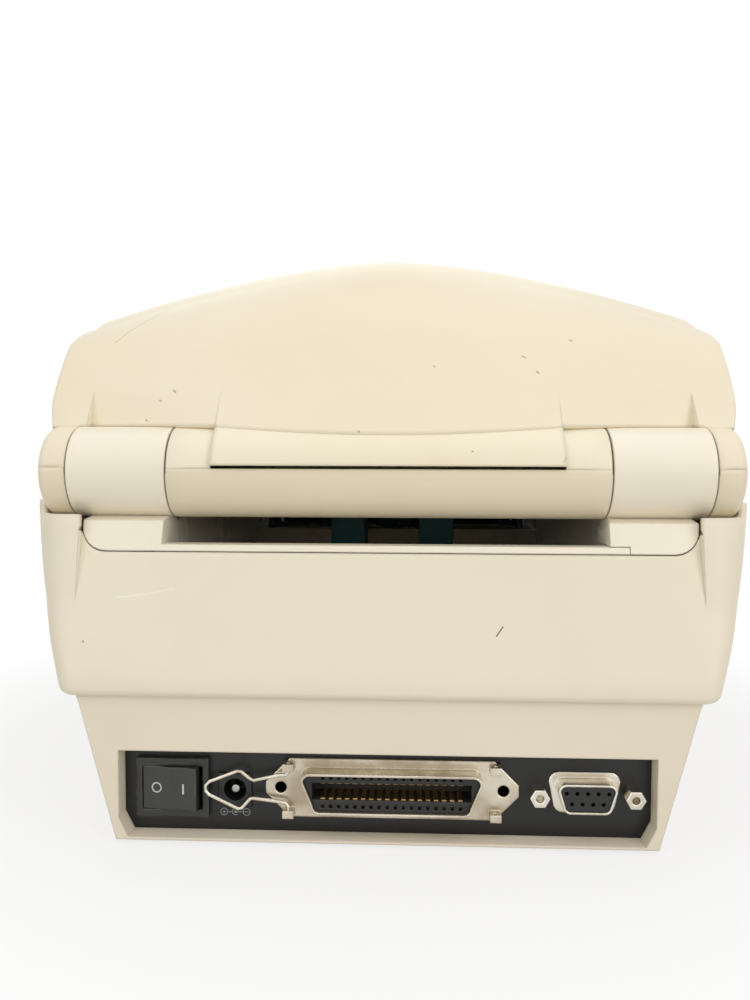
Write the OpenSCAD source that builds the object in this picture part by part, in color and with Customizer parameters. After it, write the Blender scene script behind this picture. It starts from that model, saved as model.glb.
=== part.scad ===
// Desktop direct-thermal label printer with a clamshell lid hinged along its rear edge.
// Millimetres. +Z is up and +Y is the rear, where the connectors are.
// The origin lies on the table under the middle of the casing.

/* [Casing] */
// Overall width, at the hinge
body_w = 201; // [199:0.5:206]
// Overall depth
body_d = 221; // [217:1:230]
// Height of the crown of the lid above the table
body_h = 173; // [171:0.5:178]
// Wall thickness of the casing mouldings
wall = 2.5; // [2:0.1:3]
// Gap left between two casing mouldings
seam = 0.6; // [0.3:0.1:0.9]
// Height of the joint between the tray and the upper body
skirt_z = 40.6; // [38:0.2:43]
// Width of the upper body just above its lower edge
skirt_w = 179.2; // [176:0.2:182]
// Radius of the rounded lower edge of the upper body
skirt_round = 3.5; // [2:0.5:5]
// Lean of the rear wall, in degrees from upright
rear_lean = 18; // [15:0.5:19]
// Height where the side wings leave the leaning rear wall
wing_z = 65; // [60:1:70]
// Setback of the front wall from the overall depth
front_setback = 3.5; // [2:0.5:5]
// Height of the joint between body and lid at the hinge
part_z = 92; // [91:0.5:92.5]
// Height of the joint between body and lid at the front
part_front_z = 79; // [77:0.5:81]

/* [Tray] */
// Width of the tray at its top
tray_top_w = 165; // [163:0.2:168]
// Width of the tray at its floor
tray_floor_w = 144.4; // [142:0.2:150]
// Overhang of the upper body behind the tray
tray_rear_inset = 2.5; // [1.5:0.5:4]
// Overhang of the upper body in front of the tray
tray_front_inset = 9; // [6:0.5:12]
// Thickness of the tray floor
floor_t = 2; // [1.6:0.1:2.5]
// Height of the rubber feet
foot_h = 1.3; // [1:0.1:2.5]
// Diameter of a rubber foot
foot_d = 13; // [10:0.5:16]
// Width of the connector window
window_w = 142.8; // [141:0.2:145]
// Top of the connector window
window_top_z = 25.6; // [25:0.2:28]
// Depth of the connector window behind the tray's rear face
window_depth = 5.8; // [5:0.1:7]

/* [Hinge] */
// Distance of the hinge axis in front of the rearmost edge
hinge_setback = 24; // [23.5:0.1:25]
// Height of the hinge axis
hinge_z = 99.8; // [99:0.1:101]
// Radius of the hinge barrel
barrel_r = 12.9; // [12.4:0.1:13.2]
// Length of the lid's end caps on the hinge axis
cap_len = 8.1; // [7.8:0.1:9]
// How far the end caps stay inside the widest line
cap_inset = 3.8; // [3.4:0.1:4.2]
// Length of each knuckle on the body
knuckle_len = 27.3; // [26:0.1:28]
// Side gap between barrel and knuckle
ring_gap = 0.4; // [0.3:0.05:0.6]
// Radius of a hinge pin
pin_r = 4; // [3:0.1:5]
// Radial running clearance of pins, shafts and gears
running = 0.08; // [0.04:0.01:0.1]
// Width of the flap over the middle barrel
flap_w = 96; // [90:1:104]
// How far the flap stands proud of the barrel
flap_proud = 1.5; // [1:0.1:1.8]

/* [Lid] */
// Radius of the lid's rear shoulder, seen from the side
shoulder_r = 74; // [72:0.5:76]
// Height of the lid's front brow, where its slope turns down to the front wall
brow_z = 111.4; // [110:0.2:113]
// Radius of the crown, seen from the rear
crown_r = 240; // [225:5:280]
// Distance of the crown's peak behind the middle of the depth
peak_y = 16; // [14:0.5:18]
// Lean of the lid's rear face, in degrees above the horizontal
lid_lean = 57; // [55:0.5:59]

/* [Media bay] */
// Inside width of the media bay
bay_w = 123.6; // [122.6:0.2:124]
// Thickness of the media bay's walls
bay_wall = 2.5; // [2:0.1:2.6]
// Height of the media bay's floor
bay_floor_z = 44; // [43.5:0.1:46]
// Lower edge of the inlet for fan-fold labels
inlet_z = 80.1; // [79:0.1:81]
// Height of the strip under that inlet
inlet_strip = 1.8; // [1.5:0.1:2.5]
// Distance of the hinge blocks' outer edges from the body's sides
insert_inset = 16.3; // [15.5:0.1:17.5]
// Corner radius of the hinge blocks
insert_r = 7; // [4:0.5:8]
// Radius of the roll hubs
hub_r = 12; // [10:0.5:12.5]
// Height of the roll hubs' axis
hub_z = 104; // [98:1:106]
// Thickness of a roll holder
holder_t = 12; // [9:0.5:12]
// Gap between the closed holders' arms
holder_gap = 20; // [19:0.5:24]
// Travel of each roll holder
holder_travel = 36; // [30:1:37]
// Travel of each media guide
guide_travel = 38; // [30:1:40]

/* [Drive] */
// Radius of the platen's rubber
platen_r = 8; // [7:0.1:8.4]
// Length of the platen's rubber
platen_len = 108; // [104:1:110]
// Radius of the platen shaft
shaft_r = 3; // [2.5:0.1:3.5]
// Distance of the platen axis behind the front edge
platen_setback = 28.5; // [28:0.5:30]
// Height of the platen axis
platen_z = 78; // [77:0.5:79]
// Gear module
gear_m = 1; // [0.95:0.05:1]
// Teeth of the platen gear and of the idler
gear_teeth = 20; // [18:2:20]
// Teeth of the motor pinion
pinion_teeth = 10; // [10:2:12]
// Face width of the gears
gear_w = 4; // [3:0.5:5]
// Side of the square stepper motor
motor_side = 35; // [30:1:36]
// Length of the stepper motor
motor_len = 34; // [24:1:38]

/* [Connectors] */
// Thickness of the connector panel
panel_t = 1.5; // [1.2:0.1:2]
// Width of the power switch bezel
switch_w = 19.8; // [19.4:0.2:20.4]
// Height of the power switch bezel
switch_h = 16.2; // [15.8:0.1:16.6]
// Sideways place of the power switch
switch_x = 57.9; // [57.5:0.1:58.3]
// Height of the power switch
switch_z = 14.1; // [13.8:0.1:14.4]
// Tilt of the rocker from one side to the other, in degrees
rocker_swing = 16; // [12:1:18]
// Side of the square power jack
jack_side = 9; // [8.6:0.1:9.4]
// Bore of the power jack
jack_bore = 6.3; // [5.5:0.1:6.5]
// Centre pin of the power jack
jack_pin = 2.1; // [1.7:0.1:2.5]
// Sideways place of the power jack
jack_x = 41; // [40.6:0.1:41.4]
// Height of the power jack
jack_z = 13.3; // [13:0.1:14]
// Sideways place of the 36-way ribbon port
ribbon_x = -1.8; // [-2.4:0.1:-1.2]
// Height of the ribbon port and the serial port
port_z = 14.5; // [14.2:0.1:14.9]
// Spacing of the ribbon port's fixing holes
ribbon_holes = 60.2; // [59.6:0.1:60.8]
// Pitch of the ribbon port's contacts
ribbon_pitch = 2.159; // [2.1:0.001:2.2]
// Sideways place of the 9-way serial port
serial_x = -53.5; // [-53.9:0.1:-53.2]
// Spacing of the serial port's jackscrews
serial_holes = 24.99; // [24.6:0.01:25.4]
// Pitch of the serial port's contacts
serial_pitch = 2.77; // [2.7:0.01:2.8]
// Diameter of the retaining wire
wire_d = 1; // [0.8:0.05:1.2]

/* [Hidden] */

// Names of the finishes
ivory = "#ebe2cc";
ivory_light = "#f3ead8";
steel = "#b9bcc0";
brass = "#c9a44e";
black = "#262626";
teal = "#1f6f70";
tin = "#a8a18a";
fiberglass = "#2f6b3c";

// Places worked out from the driving sizes
half_w = body_w / 2;
rear_y = body_d / 2;
front_y = -rear_y + front_setback;
tray_y = rear_y - tray_rear_inset;
tray_front_y = -rear_y + tray_front_inset;
floor_z = foot_h + floor_t;
sill_drop = 1.3;
hinge_y = rear_y - hinge_setback;
skirt_full_z = skirt_z + skirt_round;
cap_x1 = half_w - cap_inset;
cap_x0 = cap_x1 - cap_len;
knuckle_x1 = cap_x0 - ring_gap;
knuckle_x0 = knuckle_x1 - knuckle_len;
barrel_half = knuckle_x0 - ring_gap;
insert_half_w = half_w - insert_inset;
barrel_in = barrel_r - wall;
cradle_r = barrel_r + seam;
ledge_z = hinge_z - cradle_r + 0.2;
bay_half = bay_w / 2;
bay_out = bay_half + bay_wall;
bay_front_y = front_y + 61;
bay_inside_z = bay_floor_z + bay_wall;
platen_y = -rear_y + platen_setback;
gear_r = gear_m * gear_teeth / 2;
pinion_r = gear_m * pinion_teeth / 2;
train_angle = -63;
idler_y = platen_y + 2 * gear_r * cos(train_angle);
idler_z = platen_z + 2 * gear_r * sin(train_angle);
motor_y = idler_y + (gear_r + pinion_r) * cos(train_angle);
motor_z = idler_z + (gear_r + pinion_r) * sin(train_angle);
gear_x = bay_out + 0.7;
panel_y = tray_y - window_depth;
flap_half = flap_w / 2;
flap_r = barrel_r + flap_proud;
eps = 0.01;

// ---------- Shared shapes ----------

// Points of an arc in a plane, from angle a0 to angle a1
function arc(cx, cy, r, a0, a1, n) =
    [for (i = [0 : n]) [cx + r * cos(a0 + (a1 - a0) * i / n), cy + r * sin(a0 + (a1 - a0) * i / n)]];

// Straight blend of a value between two heights
function ramp(z, z0, v0, z1, v1) = v0 + (v1 - v0) * (z - z0) / (z1 - z0);

// Closed solid through rings of equal length, each turning left seen from the last ring
module loft(rings) {
    n = len(rings[0]);
    m = len(rings);
    points = [for (ring = rings) each ring];
    sides = [for (i = [0 : m - 2]) for (j = [0 : n - 1])
        let (k = (j + 1) % n, a = i * n + j, b = i * n + k, c = a + n, d = b + n)
            each [[a, c, d], [a, d, b]]];
    low = [for (j = [0 : n - 1]) j];
    high = [for (j = [n : -1 : 1]) (m - 1) * n + j % n];
    polyhedron(points, concat([low], sides, [high]), convexity = 6);
}

// Cylinder along X with its middle at x
module rod_x(x, y, z, r, l, fn = 48) {
    translate([x, y, z]) rotate([0, 90, 0]) cylinder(r = r, h = l, center = true, $fn = fn);
}

// Cylinder along Y from y0 to y1
module rod_y(x, y0, y1, z, r, fn = 32) {
    translate([x, y0, z]) rotate([-90, 0, 0]) cylinder(r = r, h = y1 - y0, $fn = fn);
}

// Block between two corners
module block(x0, x1, y0, y1, z0, z1) {
    translate([x0, y0, z0]) cube([x1 - x0, y1 - y0, z1 - z0]);
}

// Outline in Y and Z, extruded along X from x0 to x1
module side_plate(points, x0, x1) {
    translate([x0, 0, 0]) rotate([90, 0, 90]) linear_extrude(x1 - x0) polygon(points);
}

// Outline in X and Z, extruded along Y from y0 to y1
module rear_plate(points, y0, y1) {
    translate([0, y1, 0]) rotate([90, 0, 0]) linear_extrude(y1 - y0) polygon(points);
}

// Outline of a rectangle with rounded corners
function round_rect(x0, x1, y0, y1, r, n = 4) = concat(
    arc(x1 - r, y1 - r, r, 0, 90, n), arc(x0 + r, y1 - r, r, 90, 180, n),
    arc(x0 + r, y0 + r, r, 180, 270, n), arc(x1 - r, y0 + r, r, 270, 360, n));

// Copies its children on both sides of the middle
module both_sides() {
    children();
    mirror([1, 0, 0]) children();
}

// Tooth height above and below the pitch line, in modules
addendum = 0.75;
dedendum = 1.1;

// Outline of a spur gear centred at cx and cy; phase is the direction of one tooth
function gear_outline(cx, cy, teeth, phase) = let (pitch_r = gear_m * teeth / 2,
        outer_r = pitch_r + addendum * gear_m, root_r = pitch_r - dedendum * gear_m,
        half_root = 94 / teeth, half_tip = 38 / teeth)
    [for (i = [0 : teeth - 1]) let (a = 360 * i / teeth + phase)
        for (p = [[root_r, -half_root], [outer_r, -half_tip], [outer_r, half_tip], [root_r, half_root]])
            [cx + p[0] * cos(a + p[1]), cy + p[0] * sin(a + p[1])]];

// Spur gear along X with its low face at x
module gear_x_axis(x, y, z, teeth, phase, w, bore) difference() {
    side_plate(gear_outline(y, z, teeth, phase), x, x + w);
    rod_x(x + w / 2, y, z, bore, w + 1);
}

// Rack along X above its pitch line at y, with a gap at x = 0 and a plain back
function rack_outline(x0, x1, y, back) = let (pitch = PI * gear_m, first = ceil((x0 + pitch) / pitch),
        last = floor((x1 - pitch) / pitch))
    concat([[x1, y + dedendum * gear_m], [x1, y + back], [x0, y + back], [x0, y + dedendum * gear_m]],
        [for (i = [first : last]) let (c = (i - 0.5) * pitch)
            for (p = [[-1, dedendum], [-0.34, -addendum], [0.34, -addendum], [1, dedendum]])
                [c + p[0] * gear_m, y + p[1] * gear_m]]);

// ---------- Upper body ----------

// How far the rounded lower edge pulls the wall in at height z
function edge_pull(z) = z >= skirt_full_z ? 0
    : skirt_round - sqrt(max(0, pow(skirt_round, 2) - pow(skirt_full_z - z, 2)));

// Half width, rear face and corner radius of the upper body at height z
function body_half(z) = ramp(z, skirt_full_z, skirt_w / 2, part_z, half_w) - edge_pull(z);
function lean_y(z) = rear_y - (z - skirt_full_z) * tan(rear_lean);
wing_top_y = hinge_y + barrel_r;
function body_rear(z) = z <= wing_z ? min(rear_y, lean_y(z)) - edge_pull(z)
    : ramp(z, wing_z, lean_y(wing_z), part_z, wing_top_y - 0.4);
function body_corner(z) = ramp(max(z, skirt_full_z), skirt_full_z, 6, part_z, 14) - edge_pull(z);

// One ring of the upper body, pulled in by t
function body_ring(z, t) = let (w = body_half(z) - t,
    y1 = (t > 0 ? min(body_rear(z), lean_y(z)) : body_rear(z)) - t, y0 = front_y + edge_pull(z) + t,
        rr = max(body_corner(z) - t, 1), rf = max(16 - t, 1))
    [for (p = concat(
        arc(w - rr, y1 - rr, rr, 0, 90, 6), arc(-w + rr, y1 - rr, rr, 90, 180, 6),
        arc(-w + rf, y0 + rf, rf, 180, 270, 6), arc(w - rf, y0 + rf, rf, 270, 360, 6)))
        [p[0], p[1], z]];

// Joint line between body and lid, as height at depth y
part_bend_y = 20;
function part_line(y) = y >= part_bend_y ? part_z : ramp(y, -rear_y, part_front_z, part_bend_y, part_z);

// Everything above the joint line, raised by g
module above_joint(g) {
    side_plate([[-rear_y - 9, part_line(-rear_y - 9) + g], [part_bend_y, part_z + g],
        [rear_y + 9, part_z + g],
        [rear_y + 9, body_h + 9], [-rear_y - 9, body_h + 9]], -half_w - 9, half_w + 9);
}

// Outline of the opening that holds the hinge blocks and the inlet, grown by g
function insert_outline(g) = let (w = insert_half_w + g, r = insert_r + g, z = inlet_z - inlet_strip - g)
    concat([[w, part_z + 9], [-w, part_z + 9]], arc(-w + r, z + r, r, 180, 270, 6),
        arc(w - r, z + r, r, 270, 360, 6));

lever_y = front_y + 63;
lever_z = 58;
lever_slot = [lever_y - 18, lever_y + 7, lever_z + 12];
button_x = -half_w + 38.5;
button_z = 62;
button_r = 5;
lens_x = button_x + 16;
lens_r = 2.5;
boss_x = tray_top_w / 2 - 14;
boss_y = 74;
boss_front_y = front_y + 13;
boss_r = 3.9;
mouth_half = platen_len / 2 + 4;
skirt_hole_half = tray_top_w / 2 + seam / 2;

module body_shell() color(ivory) difference() {
    union() {
        difference() {
            loft([for (z = [skirt_z, skirt_z + 0.3, skirt_z + 1, skirt_z + 2, skirt_full_z, 52, wing_z, 78,
                part_z])
                body_ring(z, 0)]);
            loft([for (z = [skirt_full_z, 52, wing_z, 78, part_z + 1]) body_ring(z, wall)]);
            block(-skirt_hole_half, skirt_hole_half, tray_front_y - seam / 2, tray_y + seam / 2,
                skirt_z - 1, skirt_full_z + 1);
        }
        // Screw bosses, tied to the side walls by ribs
        both_sides() for (y = [boss_y, boss_front_y]) {
            translate([boss_x, y, skirt_full_z + 0.2]) cylinder(r = boss_r, h = 12, $fn = 32);
            block(boss_x, body_half(46) - wall / 2, y - 1.25, y + 1.25, skirt_full_z + 4, skirt_full_z + 12);
        }
        // Posts for the button board
        for (x = [button_x - 10, lens_x + 8]) rod_y(x, front_y + wall / 2, front_y + 12, button_z + 7, 2);
    }
    above_joint(0);
    // The recessed rear face between the side wings
    side_plate([[lean_y(wing_z), wing_z], [lean_y(part_z + 9), part_z + 9], [rear_y + 9, part_z + 9],
        [rear_y + 9, wing_z]], -insert_half_w, insert_half_w);
    // Opening for the hinge blocks and the inlet
    rear_plate(insert_outline(0.25), hinge_y - 20, rear_y + 9);
    // Cradle under the hinge barrel
    rod_x(0, hinge_y, hinge_z, cradle_r, body_w + 2);
    // Everything behind the hinge ends below it
    block(-half_w - 1, half_w + 1, hinge_y, rear_y + 9, ledge_z, part_z + 9);
    // Slots for the release levers
    both_sides() block(body_half(70) - 12, half_w + 2, lever_slot[0], lever_slot[1],
        lever_slot[2], part_z + 2);
    // Label mouth
    block(-mouth_half, mouth_half, front_y - 2, front_y + wall + 1, part_front_z - 3, part_z);
    rod_y(button_x, front_y - 1, front_y + wall + 1, button_z, button_r + 0.2);
    rod_y(lens_x, front_y - 1, front_y + wall + 1, button_z, lens_r + 0.05);
    both_sides() for (y = [boss_y, boss_front_y])
        translate([boss_x, y, skirt_full_z - 1]) cylinder(r = 1.3, h = 11, $fn = 24);
}

// ---------- Tray ----------

// Half width of the tray at height z
function tray_half(z) = ramp(z, foot_h, tray_floor_w / 2, skirt_z, tray_top_w / 2);

// Outline of the connector window, grown by g, its sill lowered by low
function window_outline(g, low = 0) = let (w = window_w / 2 + g, z0 = floor_z - sill_drop - low,
    z1 = window_top_z + g)
    [[-w, z1], [-w, z0 + 5], [-w + 2.5, z0], [w - 2.5, z0], [w, z0 + 5], [w, z1]];

// Outline of the black panel, grown by g
function panel_outline(g) = window_outline(1.2 + g, g);

// Solid form of the tray, pulled in by t and rising to z1
module tray_form(t, z0, z1) {
    intersection() {
        rear_plate([[-tray_half(z0) + t, z0], [tray_half(z0) - t, z0], [tray_half(z1) - t, z1],
            [-tray_half(z1) + t, z1]],
            tray_front_y - 9, tray_y + 9);
        side_plate([[tray_front_y + 2 + t, z0], [tray_y - t, z0], [tray_y - t, z1], [tray_front_y + t, z1]],
            -half_w, half_w);
    }
}

bay_post = [50, 26, -34];
foot_place = [55, 82, -72];
board_half = 60;
board_y0 = 32;
board_y1 = panel_y - panel_t - 0.4;
board_z = floor_z + 1.6;
board_hole_y = [board_y0 + 6, board_y1 - 22];
board_t = 1.6;

module base_tray() color(ivory) difference() {
    union() {
        difference() {
            tray_form(0, foot_h, skirt_z);
            tray_form(wall, floor_z, skirt_z + 1);
        }
        // Rim that the upper body sits over
        difference() {
            block(-tray_top_w / 2, tray_top_w / 2, tray_front_y, tray_y, skirt_z - 1, skirt_z + 2.5);
            block(-tray_top_w / 2 + wall, tray_top_w / 2 - wall, tray_front_y + wall, tray_y - wall,
                skirt_z - 2, skirt_z + 3);
        }
        // Tunnel behind the connector window
        intersection() {
            rear_plate(window_outline(1.6), panel_y, tray_y - wall / 2);
            tray_form(wall / 2, foot_h, skirt_z);
        }
        both_sides() {
            for (y = [boss_y, boss_front_y])
                translate([boss_x, y, floor_z - 1])
                    cylinder(r = boss_r, h = skirt_full_z - floor_z + 1, $fn = 32);
            for (y = [bay_post[1], bay_post[2]])
                translate([bay_post[0], y, foot_h]) cylinder(r = boss_r, h = bay_floor_z - foot_h, $fn = 32);
            for (y = board_hole_y)
                translate([board_half - 5, y, foot_h]) cylinder(r = 3, h = board_z - foot_h, $fn = 24);
        }
    }
    rear_plate(window_outline(0), panel_y - 1, tray_y + 1);
    // Pocket that the black panel seats in
    rear_plate(panel_outline(0.05), panel_y - panel_t - 0.05, panel_y);
    both_sides() {
        for (y = [boss_y, boss_front_y]) translate([boss_x, y, foot_h - 1]) {
            cylinder(r = 1.7, h = skirt_full_z + 1, $fn = 24);
            cylinder(r = 3.1, h = skirt_full_z - foot_h - 5, $fn = 24);
        }
        for (y = [bay_post[1], bay_post[2]]) translate([bay_post[0], y, bay_floor_z - 9])
            cylinder(r = 1.3, h = 10, $fn = 24);
        for (y = board_hole_y) translate([board_half - 5, y, board_z - 2.5]) cylinder(r = 1, h = 3, $fn = 24);
    }
}

module rubber_feet() color("#3a3a3a") both_sides() for (y = [foot_place[1], foot_place[2]])
    translate([foot_place[0], y, 0]) cylinder(d = foot_d, h = foot_h, $fn = 48);

// Countersunk screw along +Z with its head at z0 and its tip at z1
module screw(x, y, z0, z1, r, head_r, head_h) {
    translate([x, y, z0]) {
        difference() {
            cylinder(r = head_r, h = head_h, $fn = 24);
            translate([0, 0, -eps]) cylinder(r = r * 0.6, h = head_h * 0.6, $fn = 6);
        }
        translate([0, 0, head_h]) cylinder(r = r, h = z1 - z0 - head_h, $fn = 24);
    }
}

module case_screws() color(steel) both_sides() for (y = [boss_y, boss_front_y])
    screw(boss_x, y, skirt_full_z - 9, skirt_full_z + 8, 1.25, 2.9, 3);

module main_board() color(fiberglass) difference() {
    block(-board_half, board_half, board_y0, board_y1, board_z, board_z + board_t);
    both_sides() for (y = board_hole_y)
        translate([board_half - 5, y, board_z - 1]) cylinder(r = 1.3, h = board_t + 2, $fn = 24);
}

module board_screws() color(steel) both_sides() for (y = board_hole_y)
    translate([board_half - 5, y, board_z + board_t]) {
        cylinder(r = 2.2, h = 1.4, $fn = 24);
        translate([0, 0, -3.6]) cylinder(r = 0.95, h = 3.6, $fn = 24);
    }

module board_chips() color(black) {
    top = board_z + board_t;
    y = board_y0 + 10;
    block(-14, 14, y, y + 24, top, top + 3);
    block(-40, -24, y + 2, y + 14, top, top + 2.4);
    block(-40, -24, y + 20, y + 32, top, top + 2.4);
    block(24, 38, y + 2, y + 10, top, top + 4);
}

module board_capacitors() color("#33405a") for (p = [[28, 64, 5], [42, 62, 4], [44, 76, 4]])
    translate([p[0], p[1], board_z + board_t]) cylinder(r = p[2], h = 3 * p[2], $fn = 32);

// ---------- Connectors ----------

switch_y = panel_y + 1.8;
rocker_y = switch_y - 3.4;
rocker_half = [7.6, 5.9];
rocker_gap = [0.7, 0.15];
rocker_hollow = 15;
jack_y = panel_y + 0.4;
port_rim_y = tray_y;
ribbon_plate_t = 1;
ribbon_hood = [48.4, 11.1];
ribbon_flange = [68.4, 16.1];
ribbon_plate_y = panel_y + ribbon_plate_t;
serial_flange = [19, 11];
serial_hood = [15.3, 7.9];
serial_plate_t = 0.8;
jackscrew_r = 2.6;

// D-shaped outline of a port, centred at x and z, with slanted ends
function port_outline(x, z, w, h, slant, r, g) = let (a = w / 2 + g, b = h / 2 + g, c = max(r + g, 0.2))
    concat(arc(x + a - c, z + b - c, c, 0, 90, 4), arc(x - a + c, z + b - c, c, 90, 180, 4),
        arc(x - a + c + slant, z - b + c, c, 180, 270, 4), arc(x + a - c - slant, z - b + c, c, 270, 360, 4));

module connector_panel() color(black) difference() {
    rear_plate(panel_outline(0), panel_y - panel_t, panel_y);
    y0 = panel_y - panel_t - 1;
    y1 = panel_y + 1;
    block(switch_x - switch_w / 2 + 1.2, switch_x + switch_w / 2 - 1.2, y0, y1,
        switch_z - switch_h / 2 + 1.2, switch_z + switch_h / 2 - 1.2);
    block(jack_x - jack_side / 2 - 0.1, jack_x + jack_side / 2 + 0.1, y0, y1, jack_z - jack_side / 2 - 0.1,
        jack_z + jack_side / 2 + 0.1);
    rear_plate(port_outline(ribbon_x, port_z, ribbon_hood[0], ribbon_hood[1], 2.6, 2.4, 0.3), y0, y1);
    rear_plate(port_outline(serial_x, port_z, serial_hood[0], serial_hood[1], 1.2, 2, 0.3), y0, y1);
    for (s = [-1, 1]) {
        rod_y(ribbon_x + s * ribbon_holes / 2, y0, y1, port_z, 2.4);
        rod_y(serial_x + s * serial_holes / 2, y0, y1, port_z, 1.5);
    }
}

module switch_housing() color(black) {
    w = switch_w / 2;
    h = switch_h / 2;
    difference() {
        union() {
            block(switch_x - w, switch_x + w, panel_y, switch_y, switch_z - h, switch_z + h);
            block(switch_x - w + 1.3, switch_x + w - 1.3, panel_y - 16, panel_y + eps, switch_z - h + 1.3,
                switch_z + h - 1.3);
        }
        translate([switch_x, 0, switch_z]) block(-rocker_half[0] - rocker_gap[0],
            rocker_half[0] + rocker_gap[0], switch_y - 11, switch_y + 1,
            -rocker_half[1] - rocker_gap[1], rocker_half[1] + rocker_gap[1]);
        translate([switch_x, rocker_y, switch_z])
            cylinder(r = 1.2 + running, h = 2 * h - 2.4, center = true, $fn = 24);
    }
    // Terminals
    color(brass) for (x = [-6, 0, 6])
        block(switch_x + x - 0.4, switch_x + x + 0.4, panel_y - 22, panel_y - 15.5, switch_z - 2.4,
            switch_z + 2.4);
}

module power_rocker() color("#373833") translate([switch_x, rocker_y, switch_z])
    rotate([0, 0, -rocker_swing / 2]) {
    a = rocker_half[0];
    face_y = rocker_hollow + 3.9;
    turn = asin((a / 2 - 0.2) / rocker_hollow);
    translate([0, 0, -rocker_half[1]]) linear_extrude(2 * rocker_half[1]) polygon(concat(
        [[a - 0.5, -1], [a, 4.2]], arc(a / 2, face_y, rocker_hollow, 270 + turn, 270 - turn, 5),
        arc(-a / 2, face_y, rocker_hollow, 270 + turn, 270 - turn, 5),
        [[-a, 4.2], [-a + 0.5, -1], [-2, -5], [2, -5]]));
    cylinder(r = 1.2, h = switch_h - 2.8, center = true, $fn = 24);
}

module power_jack() color(black) difference() {
    h = jack_side / 2;
    union() {
        block(jack_x - h, jack_x + h, panel_y - 9, jack_y, jack_z - h, jack_z + h);
        block(jack_x - h, jack_x + h, panel_y - 12, panel_y - 9 + eps, board_z + board_t, jack_z + h);
        for (x = [jack_x - 2.8, jack_x + 2.8])
            block(x - 0.5, x + 0.5, panel_y - 11, panel_y - 8.6, board_z + board_t, jack_z - h + eps);
    }
    rod_y(jack_x, jack_y - 8.6, jack_y + 1, jack_z, jack_bore / 2);
}

module power_jack_pin() color(steel) rod_y(jack_x, jack_y - 8.6, jack_y - 0.8, jack_z, jack_pin / 2);

// Ears of the stamped flange that hold the retaining wire
ear_x = 27.8;
wire_y = panel_y + 2.9;
wire_r = wire_d / 2;
ear_z = [5.4, 7.4];

module ribbon_port_shell() color(tin) {
    w = ribbon_flange[0] / 2;
    h = ribbon_flange[1] / 2;
    difference() {
        rear_plate([for (p = [[w, 1.5], [w - 6.5, h], [-w + 6.5, h], [-w, 1.5], [-w, -1.5], [-w + 6.5, -h],
            [w - 6.5, -h], [w, -1.5]])
            [ribbon_x + p[0], port_z + p[1]]], panel_y, ribbon_plate_y);
        rear_plate(port_outline(ribbon_x, port_z, ribbon_hood[0], ribbon_hood[1], 2.6, 2.4, -0.6),
            panel_y - 1, ribbon_plate_y + 1);
        for (s = [-1, 1]) rod_y(ribbon_x + s * ribbon_holes / 2, panel_y - 1, ribbon_plate_y + 1, port_z,
            1.6);
    }
    difference() {
        rear_plate(port_outline(ribbon_x, port_z, ribbon_hood[0], ribbon_hood[1], 2.6, 2.4, 0),
            panel_y - 5, port_rim_y);
        rear_plate(port_outline(ribbon_x, port_z, ribbon_hood[0], ribbon_hood[1], 2.6, 2.4, -0.6),
            panel_y - 6, port_rim_y + 1);
    }
    for (s = [-1, 1]) for (t = [-1, 1]) difference() {
        block(ribbon_x + s * ear_x - 1.5, ribbon_x + s * ear_x + 1.5, ribbon_plate_y - eps, wire_y + 1.3,
            port_z + (t > 0 ? ear_z[0] : -ear_z[1]), port_z + (t > 0 ? ear_z[1] : -ear_z[0]));
        translate([ribbon_x + s * ear_x, wire_y, port_z + t * (ear_z[0] + ear_z[1]) / 2])
            cylinder(r = wire_r + running, h = 4, center = true, $fn = 24);
    }
}

// The port's insert has one long slot with contacts along both of its walls
port_slot = [42.6, 4.6];
port_slot_z = port_z + 0.5;
cell_row_z = [4.25, -3.6];

module ribbon_port_core() color(black) {
    difference() {
        rear_plate(port_outline(ribbon_x, port_z, ribbon_hood[0], ribbon_hood[1], 2.6, 2.4, -0.65),
            panel_y - 10, port_rim_y - 1.2);
        block(ribbon_x - port_slot[0] / 2, ribbon_x + port_slot[0] / 2, panel_y - 3, port_rim_y,
            port_slot_z - port_slot[1] / 2, port_slot_z + port_slot[1] / 2);
        for (i = [0 : 17]) for (z = cell_row_z) let (x = ribbon_x + (i - 8.5) * ribbon_pitch)
            block(x - 0.45, x + 0.45, port_rim_y - 2.4, port_rim_y, port_z + z - 0.5, port_z + z + 0.5);
    }
    block(ribbon_x - 22, ribbon_x + 22, panel_y - 12, panel_y - 8, board_z + board_t, port_z);
}

module ribbon_port_contacts() color(brass) for (i = [0 : 17]) for (s = [-1, 1])
    let (x = ribbon_x + (i - 8.5) * ribbon_pitch, z = port_slot_z + s * (port_slot[1] / 2 - 0.15))
        block(x - 0.6, x + 0.6, panel_y - 2.8, port_rim_y - 1.7, z - 0.15, z + 0.15);

// Bends of the retaining wire, as distance from its ears and height from the port's middle
wire_path = [[0, 6.4], [0, 5], [0.6, 4.2], [2.9, 4.0], [9.4, 2.5], [10.6, 3.1], [12.8, 4.9], [13.8, 5.0],
    [21.4, 2.0], [22.5, 0.9],
    [22.5, -0.5], [21.6, -1.6], [13.6, -5.4], [12.6, -5.1], [10.4, -2.6], [9.5, -2.4], [2.9, -3.2],
        [0.6, -3.6],
    [0, -4.4], [0, -6.4]];

// Direction of the wire at bend i, in degrees from +X towards +Z
function wire_turn(i) = let (a = wire_path[max(0, i - 1)], b = wire_path[min(len(wire_path) - 1, i + 1)])
    atan2(b[1] - a[1], b[0] - a[0]);

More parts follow.
